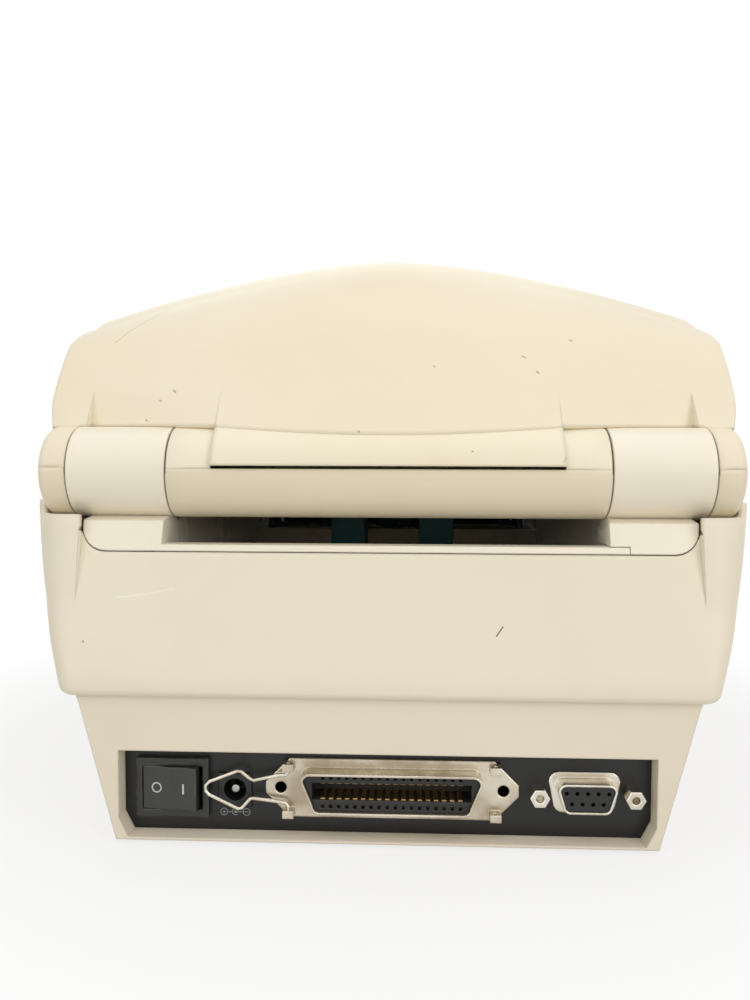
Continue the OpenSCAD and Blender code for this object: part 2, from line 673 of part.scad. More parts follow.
module retaining_wire() color(steel) translate([ribbon_x + ear_x, wire_y, port_z])
    loft([for (i = [0 : len(wire_path) - 1]) let (p = wire_path[i], t = wire_turn(i) + 90)
        [for (j = [0 : 11]) [p[0] + wire_r * cos(30 * j) * cos(t), wire_r * sin(30 * j),
            p[1] + wire_r * cos(30 * j) * sin(t)]]]);

module serial_port_shell() color(steel) {
    difference() {
        rear_plate(port_outline(serial_x, port_z, serial_flange[0], serial_flange[1], 1.2, 2.6, 0),
            panel_y, panel_y + serial_plate_t);
        rear_plate(port_outline(serial_x, port_z, serial_hood[0], serial_hood[1], 1.2, 2, -0.5),
            panel_y - 1, port_rim_y);
    }
    difference() {
        rear_plate(port_outline(serial_x, port_z, serial_hood[0], serial_hood[1], 1.2, 2, 0), panel_y - 6,
            port_rim_y);
        rear_plate(port_outline(serial_x, port_z, serial_hood[0], serial_hood[1], 1.2, 2, -0.5),
            panel_y - 7, port_rim_y + 1);
    }
}

// Places of the nine contacts: five above, four below
serial_pins = concat([for (i = [-2 : 2]) [i * serial_pitch, 1.42]],
    [for (i = [-1.5 : 1.5]) [i * serial_pitch, -1.42]]);

module serial_port_core() color("#4b4b4b") {
    difference() {
        rear_plate(port_outline(serial_x, port_z, serial_hood[0], serial_hood[1], 1.2, 2, -0.55),
            panel_y - 10, port_rim_y - 0.4);
        for (p = serial_pins) rod_y(serial_x + p[0], port_rim_y - 6, port_rim_y, port_z + p[1], 0.55, 16);
    }
    block(serial_x - 6, board_half * -1 + 12, panel_y - 12, panel_y - 9, board_z + board_t, port_z);
}

module jackscrews() color(steel) for (s = [-1, 1]) difference() {
    x = serial_x + s * serial_holes / 2;
    union() {
        rod_y(x, panel_y, port_rim_y, port_z, jackscrew_r, 6);
        rod_y(x, panel_y - panel_t - 3, panel_y + eps, port_z, 1.4);
    }
    rod_y(x, port_rim_y - 5, port_rim_y + 1, port_z, 1.1, 24);
}

// ---------- Media bay ----------

bay_top_z = part_z - 1;
platen_wall_z = platen_z + 8.5;
block_y0 = hinge_y - 3.5;
strip_z = inlet_z - inlet_strip;
strip_end_x = -bay_out - 1.1;
bush_r = shaft_r + 3;
shelf_z = platen_z - 5.5;
shelf_t = 2;
shelf_y0 = platen_y + 9;
guide_y = shelf_y0 + 16;
guide_x = 54;
guide_t = 2.5;
rack_back = 4.6;
rack_t = 4;
holder_y = 11;
pinion_axle_r = 2.5;
lever_x0 = bay_out + 6.7;
lever_t = 5;
lever_pin_r = 2.5;

// Outer plane of the bay's own rear wall
function bay_rear(z) = lean_y(z) - wall - seam;

module bay_side() side_plate([
    [platen_y - 9, platen_wall_z], [platen_y - 9, 62],
        [motor_y - motor_side / 2 - 1, motor_z - motor_side / 2],
    [bay_front_y, motor_z - motor_side / 2], [bay_front_y, bay_floor_z], [bay_rear(bay_floor_z), bay_floor_z],
    [bay_rear(strip_z), strip_z - 0.4], [block_y0 - 0.4, strip_z - 0.4],
        [block_y0 - 0.4, hinge_z - barrel_r - 1],
    [hinge_y - barrel_r - 1, hinge_z - barrel_r - 1], [hinge_y - barrel_r - 6, bay_top_z],
        [guide_y + 12, bay_top_z],
    [guide_y + 6, platen_wall_z]], bay_half, bay_out);

module knuckle() difference() {
    rod_x((knuckle_x0 + knuckle_x1) / 2, hinge_y, hinge_z, barrel_r, knuckle_len, 96);
    rod_x((knuckle_x0 + knuckle_x1) / 2, hinge_y, hinge_z, pin_r + running, knuckle_len + 1);
}

// Hinge block on the +X side, from x0 to the block's outer edge, with its knuckle
module hinge_block_form(x0) {
    difference() {
        intersection() {
            side_plate([[block_y0, strip_z], [lean_y(strip_z), strip_z], [lean_y(ledge_z), ledge_z],
                [hinge_y + 3, ledge_z + 1], [hinge_y, hinge_z], [block_y0, hinge_z]], x0, insert_half_w);
            rear_plate(insert_outline(0), block_y0 - 1, rear_y);
        }
        rod_x(0, hinge_y, hinge_z, pin_r + running, body_w);
        rod_x(0, hinge_y, hinge_z, barrel_r + 2 * flap_proud, 2 * knuckle_x0);
    }
    knuckle();
}

module media_bay() color(ivory_light) {
    difference() {
        union() {
            block(-bay_out, bay_out, bay_front_y, bay_rear(bay_floor_z) - 1, bay_floor_z, bay_inside_z);
            both_sides() bay_side();
            // Rear wall and the strip under the inlet
            side_plate([[bay_rear(bay_floor_z) - bay_wall, bay_floor_z], [bay_rear(bay_floor_z), bay_floor_z],
                [bay_rear(strip_z), strip_z], [lean_y(strip_z), strip_z], [lean_y(inlet_z), inlet_z],
                [bay_rear(inlet_z) - bay_wall, inlet_z]], strip_end_x, bay_out);
            block(-bay_out, bay_out, bay_front_y, bay_front_y + bay_wall, bay_floor_z, shelf_z);
            block(-bay_out, bay_out, shelf_y0, bay_front_y + bay_wall, shelf_z - shelf_t, shelf_z);
            rod_x(bay_out + 3, idler_y, idler_z, 2, 6 + eps);
        }
        // Seats of the platen bushes
        rod_x(0, platen_y, platen_z, bush_r + 0.02, body_w);
        // Way through for the motor shaft and its boss
        rod_x(bay_out, motor_y, motor_z, 3.6, 10);
        // Slots for the roll holders' feet, one on each side of their pinion
        for (a = [0, 180]) translate([0, holder_y, 0]) rotate([0, 0, a])
            block(holder_gap / 2 + 0.5, bay_half - 1, 5.5, 10.5, bay_floor_z - 1, bay_inside_z + 1);
        translate([0, holder_y, bay_floor_z - 1]) cylinder(r = pinion_axle_r + running, h = 9, $fn = 32);
        // Slots for the media guides' feet
        for (a = [0, 180]) translate([0, guide_y, 0]) rotate([0, 0, a])
            block(guide_x - guide_travel - 1, guide_x + guide_t + 1, 5.9, 9.9, shelf_z - shelf_t - 1,
                shelf_z + 1);
        translate([0, guide_y, shelf_z - shelf_t - 1]) cylinder(r = pinion_axle_r + running, h = 9, $fn = 32);
        both_sides() {
            rod_x(bay_out, lever_y, lever_z, lever_pin_r, 2 * bay_wall, 32);
            for (y = [bay_post[1], bay_post[2]]) translate([bay_post[0], y, bay_floor_z - 1])
                cylinder(r = 1.7, h = 9, $fn = 24);
        }
    }
    hinge_block_form(bay_half);
}

module hinge_block() color(ivory_light) mirror([1, 0, 0]) difference() {
    hinge_block_form(bay_half - 1.5);
    // Step over the end of the strip
    block(bay_half - 5, -strip_end_x + 0.15, block_y0 - 1, rear_y, strip_z - 1, inlet_z + 0.15);
}

module bay_screws() color(steel) both_sides() for (y = [bay_post[1], bay_post[2]])
    translate([bay_post[0], y, bay_inside_z]) {
        cylinder(r = 3, h = 1.6, $fn = 24);
        translate([0, 0, -bay_wall - 7]) cylinder(r = 1.25, h = bay_wall + 7, $fn = 24);
    }

module hinge_pins() color(steel) both_sides()
    rod_x((knuckle_x0 + knuckle_x1) / 2, hinge_y, hinge_z, pin_r, knuckle_len + 9);

// ---------- Drive ----------

module platen_bushes() color("#d8cfae") both_sides() difference() {
    rod_x((bay_half + bay_out) / 2, platen_y, platen_z, bush_r, bay_wall + 0.8);
    rod_x((bay_half + bay_out) / 2, platen_y, platen_z, shaft_r + running, bay_wall + 2);
}

module platen_roller() color(black) difference() {
    rod_x(0, platen_y, platen_z, platen_r, platen_len, 64);
    rod_x(0, platen_y, platen_z, shaft_r, platen_len + 1);
}

module platen_shaft() color(steel)
    rod_x((gear_x + gear_w - bay_out) / 2, platen_y, platen_z, shaft_r, gear_x + gear_w + bay_out + 3);

module platen_gear() color("#e4e0d2")
    gear_x_axis(gear_x, platen_y, platen_z, gear_teeth, train_angle, gear_w, shaft_r);

module idler_gear() color("#e4e0d2")
    gear_x_axis(gear_x, idler_y, idler_z, gear_teeth, train_angle + 180 + 180 / gear_teeth, gear_w,
        2 + running);

// The idler's teeth point along the train at train_angle too when it has an even number of teeth
pinion_phase = train_angle + 180 + (gear_teeth % 2 == 0 ? 0 : 180 / pinion_teeth);

module motor_pinion() color(brass)
    gear_x_axis(gear_x, motor_y, motor_z, pinion_teeth, pinion_phase, gear_w, motor_shaft_r);

motor_shaft_r = 1.5;
motor_plate_t = 1.5;
motor_x1 = bay_half - motor_plate_t;

module motor_shaft() color(steel)
    rod_x((motor_x1 - 8 + gear_x + gear_w + 0.5) / 2, motor_y, motor_z, motor_shaft_r,
        gear_x + gear_w + 0.5 - motor_x1 + 8, 24);

module stepper_motor() color("#4a4d52") difference() {
    s = motor_side / 2;
    union() {
        side_plate([for (p = round_rect(motor_y - s, motor_y + s, motor_z - s, motor_z + s, 3)) p],
            motor_x1 - motor_len, motor_x1);
        rod_x(motor_x1 + 1, motor_y, motor_z, 3.2, 2 + eps);
    }
    rod_x(motor_x1 - 4, motor_y, motor_z, motor_shaft_r + running, 14, 24);
    for (a = [45 : 90 : 315]) rod_x(motor_x1, motor_y + (s - 4) * sqrt(2) * cos(a),
        motor_z + (s - 4) * sqrt(2) * sin(a), 1, 8, 16);
}

module motor_plate() color(steel) difference() {
    s = motor_side / 2 + 0.8;
    side_plate(round_rect(motor_y - s, motor_y + s, motor_z - s, motor_z + s, 3), motor_x1,
        motor_x1 + motor_plate_t);
    rod_x(motor_x1, motor_y, motor_z, 3.5, 6);
    for (a = [45 : 90 : 315]) rod_x(motor_x1, motor_y + (motor_side / 2 - 4) * sqrt(2) * cos(a),
        motor_z + (motor_side / 2 - 4) * sqrt(2) * sin(a), 1.2, 8, 16);
}

module motor_screws() color(steel) for (a = [45 : 90 : 315])
    let (y = motor_y + (motor_side / 2 - 4) * sqrt(2) * cos(a),
        z = motor_z + (motor_side / 2 - 4) * sqrt(2) * sin(a))
        rod_x(motor_x1 - 1, y, z, 0.95, 4.8, 16);

module label_sensor() color(black) {
    block(-10, 10, shelf_y0 + 0.5, shelf_y0 + 5, shelf_z, shelf_z + 4);
    color("#7a1f1f") block(-1.5, 1.5, shelf_y0 + 1.5, shelf_y0 + 4, shelf_z + 4, shelf_z + 4.6);
}

// ---------- Media guides and roll holders ----------

// Guide on the +X side; the other one is its copy turned half round the wheel
module media_guide_form() {
    block(guide_x, guide_x + guide_t, guide_y - 10, guide_y + 10, shelf_z + 0.3, platen_z + platen_r - 1);
    block(guide_x - 6, guide_x + guide_t, guide_y + 6.2, guide_y + 9.6, shelf_z + 0.3, shelf_z + 2.3);
    block(guide_x - 0.4, guide_x + guide_t, guide_y + 6.2, guide_y + 9.6, shelf_z - shelf_t - 1, shelf_z + 1);
    translate([0, 0, shelf_z - shelf_t - 0.3 - rack_t]) linear_extrude(rack_t)
        polygon([for (p = rack_outline(-5, guide_x + guide_t, pinion_r, rack_back + 0.2)) [p[0],
            guide_y + p[1]]]);
}

module media_guide_left() color(teal) media_guide_form();

module media_guide_right() color(teal)
    translate([0, 2 * guide_y, 0]) rotate([0, 0, 180]) media_guide_form();

module guide_wheel() color(teal) {
    low = shelf_z - shelf_t - 0.3 - rack_t;
    translate([0, 0, low]) linear_extrude(rack_t) polygon(gear_outline(0, guide_y, pinion_teeth, 90));
    translate([0, guide_y, low]) cylinder(r = pinion_axle_r, h = shelf_z + 1 - low, $fn = 32);
    translate([0, 0, shelf_z + 0.3]) linear_extrude(3.5)
        polygon([for (i = [0 : 47]) let (r = i % 2 == 0 ? 9 : 8.3) [r * cos(i * 7.5),
            guide_y + r * sin(i * 7.5)]]);
}

// Holder on the +X side; the other one is its copy turned half round the pinion
module roll_holder_form() {
    x0 = holder_gap / 2;
    side_plate(concat([[holder_y - 11.5, bay_inside_z + 0.3], [holder_y + 11.5, bay_inside_z + 0.3]],
        arc(holder_y, hub_z, hub_r + 2, -10, 190, 14)), x0, x0 + holder_t);
    rod_x(x0 - 3, holder_y, hub_z, hub_r, 6 + eps, 64);
    block(x0 + 1.5, x0 + holder_t - 2, holder_y + 5.8, holder_y + 10.2, bay_floor_z - 1, bay_inside_z + 1);
    translate([0, 0, bay_floor_z - 0.3 - rack_t]) linear_extrude(rack_t)
        polygon([for (p = rack_outline(-holder_travel - 4, x0 + holder_t, pinion_r,
            rack_back + 0.7)) [p[0], holder_y + p[1]]]);
}

module roll_holder_left() color(teal) roll_holder_form();

module roll_holder_right() color(teal)
    translate([0, 2 * holder_y, 0]) rotate([0, 0, 180]) roll_holder_form();

module holder_pinion() color(brass) {
    low = bay_floor_z - 0.3 - rack_t;
    translate([0, 0, low]) linear_extrude(rack_t) polygon(gear_outline(0, holder_y, pinion_teeth, 90));
    translate([0, holder_y, low]) cylinder(r = pinion_axle_r, h = bay_inside_z + 1 - low, $fn = 32);
    translate([0, holder_y, bay_inside_z + 0.2]) cylinder(r = 4.5, h = 1.3, $fn = 32);
}

// ---------- Front controls ----------

button_board_y = front_y + 12;
button_travel = 1.2;

module button_board() color(fiberglass) {
    block(button_x - 13, lens_x + 11, button_board_y, button_board_y + 1.6, button_z - 5, button_z + 9);
    color(black) block(button_x - 3, button_x + 3, button_board_y - 2.6, button_board_y, button_z - 3,
        button_z + 3);
    color(steel) rod_y(button_x, button_board_y - 4, button_board_y - 2.6 + eps, button_z, 1.7);
}

module feed_button() color("#5f6663") {
    rod_y(button_x, front_y - 1.6, front_y + wall + 1, button_z, button_r, 48);
    rod_y(button_x, front_y + wall + 0.2, front_y + wall + 2.2, button_z, button_r + 1.5, 48);
    rod_y(button_x, front_y + wall + 2, button_board_y - 4 - button_travel - 0.1, button_z, 2, 24);
}

module status_lens() color("#6fbf73") {
    rod_y(lens_x, front_y - 0.6, front_y + wall + 0.5, button_z, lens_r);
    rod_y(lens_x, front_y + wall, button_board_y, button_z, lens_r - 0.7);
}

// Release lever on the +X side: an arm from its pin up to a nose over the latch bar
hook_z = hinge_z - 1.8;
latch_y = lever_y - 8;
latch_r = 2.5;

module release_lever_form() {
    difference() {
        side_plate([[lever_y - 6, lever_z - 5], [lever_y + 6, lever_z - 5], [lever_y + 5, lever_z + 8],
            [latch_y - latch_r - 0.7, hook_z - 6], [latch_y - latch_r - 0.7, hook_z + latch_r + 0.4],
            [latch_y + 2, hook_z + latch_r + 0.4], [latch_y + 2, hook_z + latch_r + 2.4],
                [latch_y - 5, hook_z + latch_r + 4.6],
            [latch_y - 9, hook_z - 4], [lever_y - 9, lever_z + 12]], lever_x0, lever_x0 + lever_t);
        rod_x(lever_x0 + lever_t / 2, lever_y, lever_z, lever_pin_r + running, lever_t + 1, 32);
    }
    side_plate(round_rect(lever_y - 12, lever_y - 3, lever_z + 14.5, lever_z + 21.5, 2), lever_x0 + 1,
        half_w - 1.2);
}

module release_lever_left() color(teal) release_lever_form();

module release_lever_right() color(teal) mirror([1, 0, 0]) release_lever_form();

module lever_pins() color(steel) both_sides() {
    rod_x((bay_half + lever_x0 + lever_t + 0.8) / 2, lever_y, lever_z, lever_pin_r,
        lever_x0 + lever_t + 0.8 - bay_half, 32);
    rod_x(lever_x0 + lever_t + 1.1, lever_y, lever_z, lever_pin_r + 1.2, 1, 32);
}

// ---------- Lid ----------

lean_n = 90 - lid_lean;
brow_y = front_y + 7;
slope_r = (pow(peak_y - brow_y, 2) + pow(body_h - brow_z, 2)) / (2 * (body_h - brow_z));
slope_end = 90 + asin((peak_y - brow_y) / slope_r);
slope_z = body_h - slope_r;
shoulder_z = body_h - shoulder_r;
rear_k = 0.65;
lid_low = part_front_z - 8;
lid_front_r = 16;
cap_round = 3;
lip_z = hinge_z + barrel_r + 0.1;
lid_gap = seam + 0.2;

// Drop of the crown at x, and the share of it that applies at depth y
function crown_drop(x) = crown_r - sqrt(pow(crown_r, 2) - pow(x, 2));
function drop_share(y) = y <= 50 ? 1 : y >= 68 ? rear_k : 1 - (1 - rear_k) * (y - 50) / 18;

// Forward scoop of the lid's rear face beside the flap
scoop_w = insert_half_w - flap_half;
function scoop(x, z) = abs(x) <= flap_half || abs(x) > insert_half_w + 2 ? 0
    : 4 * min(1, (abs(x) - flap_half) / scoop_w) * max(0, min(1, (hinge_z + 23 - z) / 10));

// Distance of the leaning rear face from the hinge axis, with the edge rounding e
function lean_dist(x, e) = cos(lean_n) * (peak_y - hinge_y) + sin(lean_n) * (shoulder_z - hinge_z)
    + shoulder_r
    - rear_k * (crown_drop(x) + e) * sin(lean_n);
function lean_at(x, z, e, t) = hinge_y + (lean_dist(x,
    e) - t - sin(lean_n) * (z - hinge_z)) / cos(lean_n) - scoop(x, z);

// Radius of the lid round the hinge at x
function hinge_ra(x) = abs(x) <= flap_half ? flap_r
    : barrel_r - 0.6 - (abs(x) <= half_w - cap_round ? 0
        : cap_round - sqrt(max(0, pow(cap_round, 2) - pow(abs(x) - half_w + cap_round, 2))));

// Setback of the front wall at x, from the plan's rounded corners
function corner_back(x) = let (c = abs(x) - half_w + lid_front_r)
    c <= 0 ? 0 : lid_front_r - sqrt(max(0, pow(lid_front_r, 2) - pow(c, 2)));

// Points over the top, from the rear shoulder to the front edge, pulled in by t
function lid_top(x, e, t) = let (d = crown_drop(x), back = corner_back(x)) [for (p = concat(
        arc(peak_y, shoulder_z, shoulder_r - t, lean_n, 90, t > 0 ? 6 : 11),
        arc(peak_y, slope_z, slope_r - t, 96, slope_end, t > 0 ? 5 : 8)))
    [p[0] + back * max(0, min(1, (-50 - p[0]) / 45)), p[1] - drop_share(p[0]) * (d + e)]];

// Outer ring of the lid at x
function lid_ring(x, e) = let (ra = hinge_ra(x),
    lean = lean_dist(x, e) - cos(lean_n) * scoop(x, hinge_z + barrel_r),
        theta = lean_n + acos(max(-1, min(1, lean / ra))), lip = abs(x) > flap_half && theta < 82,
        a1 = lip ? 88 : theta, z0 = lip ? lip_z : hinge_z + ra * sin(theta) + 0.03,
        z1 = shoulder_z + shoulder_r * sin(lean_n) - rear_k * (crown_drop(x) + e))
    [for (p = concat([[hinge_y - 3, hinge_z]], arc(hinge_y, hinge_z, ra, 7.6, a1, 8),
        [for (i = [0 : 4]) let (z = z0 + (z1 - z0) * i / 5) [lean_at(x, z, e, 0), z]], lid_top(x, e, 0),
        [[front_y - 0.5 + corner_back(x), part_front_z], [front_y - 0.5 + corner_back(x), lid_low],
            [hinge_y - 3, lid_low]]))
        [x, p[0], p[1]]];

// Inner ring of the lid at x
function lid_inner(x, e) = let (y0 = hinge_y - 2, d = lean_dist(x, e) - wall,
        z0 = hinge_z + (d + 2 * cos(lean_n) - cos(lean_n) * scoop(x, hinge_z + barrel_r)) / sin(lean_n),
        z1 = shoulder_z + (shoulder_r - wall) * sin(lean_n) - rear_k * (crown_drop(x) + e))
    [for (p = concat([[y0, lid_low - 1]],
        [for (i = [0 : 3]) let (z = z0 + (z1 - z0) * i / 4) [lean_at(x, z, e, wall), z]],
        lid_top(x, e, wall), [[front_y - 0.5 + wall + corner_back(x), part_front_z],
            [front_y - 0.5 + wall + corner_back(x), lid_low - 1]]))
        [x * (half_w - wall) / half_w, p[0], p[1]]];

// Stations across the lid, each with the drop of its rounded side edge
lid_sides = concat([[flap_half - eps, 0], [flap_half + eps, 0]],
    [for (share = [0.17, 0.33, 0.5, 0.64, 0.75, 0.88, 1]) [flap_half + share * scoop_w, 0]],
    [[insert_half_w + 2 - eps, 0], [insert_half_w + 2 + eps, 0], [half_w - 9.5, 0], [half_w - 5.5, 0.2],
    [half_w - 3, 0.8], [half_w - 1.6, 2], [half_w - 0.8, 4], [half_w - 0.3, 8]]);
lid_stations = concat([for (i = [len(lid_sides) - 1 : -1 : 0]) [-lid_sides[i][0], lid_sides[i][1]]],
    [for (x = [-36, -24, -12, 0, 12, 24, 36]) [x, 0]], lid_sides);

module lid_outer() loft([for (s = lid_stations) lid_ring(s[0], s[1])]);

// Fewer stations serve the inside
inner_sides = [for (i = [2, 5, 7, 9, 11, 13, 15, 16]) lid_sides[i]];
inner_stations = concat([for (i = [len(inner_sides) - 1 : -1 : 0]) [-inner_sides[i][0], inner_sides[i][1]]],
    [for (x = [-36, -18, 0, 18, 36]) [x, 0]], inner_sides);

module lid_hollow() loft([for (s = inner_stations) lid_inner(s[0], s[1])]);

// Barrel and end caps of the lid, still without their bores
module lid_barrel() {
    rod_x(0, hinge_y, hinge_z, barrel_r, 2 * barrel_half, 96);
    both_sides() translate([0, hinge_y, hinge_z]) rotate([0, 90, 0]) rotate_extrude($fn = 96) polygon(concat(
        [[0, cap_x0], [barrel_r, cap_x0]], arc(barrel_r - cap_round, cap_x1 - cap_round, cap_round, 0, 90, 5),
        [[0, cap_x1]]));
}

// Bores of the barrel and of the end caps, reaching out by g at their open ends
module barrel_bores(g) {
    rod_x(0, hinge_y, hinge_z, barrel_in, 2 * (barrel_half + g), 64);
    both_sides() rod_x((cap_x0 + cap_x1 - wall - g) / 2, hinge_y, hinge_z, barrel_in,
        cap_x1 - wall - cap_x0 + g, 64);
}

// Discs inside the barrel and the caps that hold the hinge pins
module pin_discs() both_sides() difference() {
    union() {
        rod_x(barrel_half - 1.5, hinge_y, hinge_z, barrel_in, 3, 64);
        rod_x(cap_x0 + 1.5, hinge_y, hinge_z, barrel_in, 3, 64);
    }
    rod_x(knuckle_x1, hinge_y, hinge_z, pin_r, body_w);
}

lid_split = 0.15;
front_stay = hinge_y - barrel_r - 0.5;
rail_x = [bay_half + 0.7, bay_half + 7.2];
rail_z = [94, 100];
lid_boss_x = rail_x[0] + 3.5;
lid_boss_y = [30, lever_y - 24];
beam_z = [97, rail_z[1]];
beam_y = [front_y + 10, lever_y - 14];

module lid_shell() color(ivory) difference() {
    union() {
        difference() {
            lid_outer();
            lid_hollow();
            both_sides() rod_x((barrel_half + cap_x0) / 2, hinge_y, hinge_z, barrel_r + seam + 0.1,
                cap_x0 - barrel_half + 0.1, 96);
        }
        lid_barrel();
        // Bosses that meet the rails
        intersection() {
            lid_outer();
            both_sides() for (y = lid_boss_y) translate([lid_boss_x, y, rail_z[1]])
                cylinder(r = 3.2, h = body_h, $fn = 24);
        }
    }
    // Everything below the joint line
    side_plate([[-rear_y - 9, lid_low - 9], [rear_y + 9, lid_low - 9], [rear_y + 9, hinge_z + lid_split],
        [front_stay, hinge_z + lid_split], [front_stay, part_z + lid_gap], [part_bend_y, part_z + lid_gap],
        [-rear_y - 9, part_line(-rear_y - 9) + lid_gap]], -half_w - 9, half_w + 9);
    both_sides() for (y = lid_boss_y)
        translate([lid_boss_x, y, rail_z[1] - 1]) cylinder(r = 1.3, h = 9, $fn = 24);
    barrel_bores(1);
    // Groove under the flap
    block(-flap_half, flap_half, hinge_y + barrel_r - 1.6, rear_y, hinge_z, hinge_z + 1.75);
    // Label mouth
    block(-mouth_half, mouth_half, front_y - 3, front_y + wall + 2, lid_low, part_z);
}

module lid_frame() color("#8f8c84") difference() {
    union() {
        difference() {
            lid_barrel();
            barrel_bores(1);
            block(-half_w - 1, half_w + 1, hinge_y - 20, hinge_y + 20, hinge_z - lid_split, hinge_z + 20);
        }
        pin_discs();
        // Bar in front of the barrel, with webs to the barrel and to the caps
        block(-half_w + wall + 1, half_w - wall - 1, front_stay - 7, front_stay - 0.7, rail_z[0] - 0.5,
            rail_z[1] + 4);
        block(-barrel_half, barrel_half, front_stay - 1, hinge_y - barrel_in - 0.5, rail_z[0] - 0.5,
            hinge_z - lid_split);
        both_sides() block(cap_x0, cap_x1 - 1, front_stay - 1, hinge_y - barrel_in - 0.5,
            rail_z[0] - 0.5, hinge_z - lid_split);
        both_sides() {
            block(rail_x[0], rail_x[1], beam_y[0], front_stay - 6, rail_z[0], rail_z[1]);
            block(rail_x[0], rail_x[1], latch_y - 5, latch_y + 5, rail_z[0], hook_z + latch_r + 1.5);
            side_plate([[head_y - 5, beam_z[0] + 1], [head_y - 5, head_z], [head_y - 2, head_z - 3],
                [head_y + 2, head_z - 3],
                [head_y + 5, head_z], [head_y + 5, beam_z[0] + 1]], head_half + 1, head_half + 3.5);
        }
        block(-rail_x[1], rail_x[1], beam_y[0], beam_y[1], beam_z[0], beam_z[1]);
    }
    rod_x(0, latch_y, hook_z, latch_r, body_w, 32);
    rod_x(0, head_y, head_z, head_pin_r + running, 2 * head_half + 9, 24);
    both_sides() for (y = lid_boss_y) translate([lid_boss_x, y, rail_z[0] - 1]) {
        cylinder(r = 1.6, h = 9, $fn = 24);
        cylinder(r = 3, h = 3, $fn = 24);
    }
}

module lid_screws() color(steel) both_sides() for (y = lid_boss_y)
    screw(lid_boss_x, y, rail_z[0] + 0.2, rail_z[1] + 7, 1.25, 2.9, 1.8);

module latch_bar() color(steel) rod_x(0, latch_y, hook_z, latch_r, 2 * (lever_x0 + lever_t + 1.5), 32);

// ---------- Print head ----------

head_half = platen_len / 2 + 2;
head_y = platen_y + 18;
head_z = 92;
head_pin_r = 1.5;
head_bottom = platen_z + platen_r + 0.3;
head_t = 1.2;
plate_z = head_bottom + head_t;
spring_x = 30;
spring_r = 3.6;
spring_wire = 0.5;
spring_turns = 4;

module head_bracket() color("#c4c7c9") difference() {
    union() {
        block(-head_half + 0.2, head_half - 0.2, platen_y - 10, platen_y + 16, plate_z, plate_z + 2);
        block(-head_half + 0.2, head_half - 0.2, platen_y - 10, platen_y - 8, plate_z, plate_z + 5);
        both_sides() {
            side_plate([[head_y - 4, plate_z], [head_y + 1, plate_z], [head_y + 4, head_z],
                [head_y + 2, head_z + 3],
                [head_y - 2, head_z + 3], [head_y - 4, head_z]], head_half - 2.2, head_half - 0.2);
            rod_x(head_half + 0.8, head_y, head_z, head_pin_r, 4, 24);
        }
    }
    for (s = [-1, 1]) translate([s * 20, platen_y + 8, plate_z - 1]) cylinder(r = 2, h = 4, $fn = 24);
}

module print_head() color("#e9e4da") {
    block(-head_half + 2, head_half - 2, platen_y - 10, platen_y + 8, head_bottom + 0.2, plate_z);
    color("#6b5a4a") block(-platen_len / 2, platen_len / 2, platen_y - 1, platen_y + 1, head_bottom,
        head_bottom + 0.2 + eps);
}

// Coil spring along +Z from z0 to z1
module coil(x, y, z0, z1) {
    steps = 16 * spring_turns;
    section = 6;
    rings = [for (i = [0 : steps]) let (a = 360 * spring_turns * i / steps,
        z = z0 + spring_wire + (z1 - z0 - 2 * spring_wire) * i / steps)
        [for (j = [0 : section - 1]) let (b = 360 * j / section, r = spring_r + spring_wire * cos(b))
            [x + r * cos(a), y + r * sin(a), z + spring_wire * sin(b)]]];
    loft([for (ring = rings) [for (j = [section - 1 : -1 : 0]) ring[j]]]);
}

module head_springs() color(steel) for (s = [-1, 1]) coil(s * spring_x, platen_y + 2, plate_z + 2, beam_z[0]);

module tear_bar() color(steel) {
    pitch = 1.5;
    low = head_z - 3.5;
    teeth = floor((mouth_half - 2) / pitch);
    rear_plate(concat([[teeth * pitch, beam_z[0]], [-teeth * pitch, beam_z[0]]],
        [for (i = [-teeth : teeth - 1]) for (p = [[0, 0], [pitch / 2, -1]]) [i * pitch + p[0], low + p[1]]],
        [[teeth * pitch, low]]), beam_y[0] - 3, beam_y[0] - 1.8);
    block(-teeth * pitch, teeth * pitch, beam_y[0] - 1.8 - eps, beam_y[0] + 4, beam_z[0] - 1.2, beam_z[0]);
}

base_tray();
rubber_feet();
case_screws();
connector_panel();
main_board();
board_chips();
board_capacitors();
board_screws();
switch_housing();
power_rocker();
power_jack();
power_jack_pin();
ribbon_port_shell();
ribbon_port_core();
ribbon_port_contacts();
retaining_wire();
serial_port_shell();
serial_port_core();
jackscrews();
body_shell();
media_bay();
hinge_block();
bay_screws();
hinge_pins();
platen_bushes();
platen_roller();
platen_shaft();
platen_gear();
idler_gear();
motor_pinion();
motor_shaft();
stepper_motor();
motor_plate();
motor_screws();
label_sensor();
media_guide_left();
media_guide_right();
guide_wheel();
roll_holder_left();
roll_holder_right();
holder_pinion();
button_board();
feed_button();
status_lens();
release_lever_left();
release_lever_right();
lever_pins();
lid_shell();
lid_frame();
lid_screws();
latch_bar();
head_bracket();
print_head();
head_springs();
tear_bar();
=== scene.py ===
import bpy
import numpy as np
from mathutils import Matrix, Vector


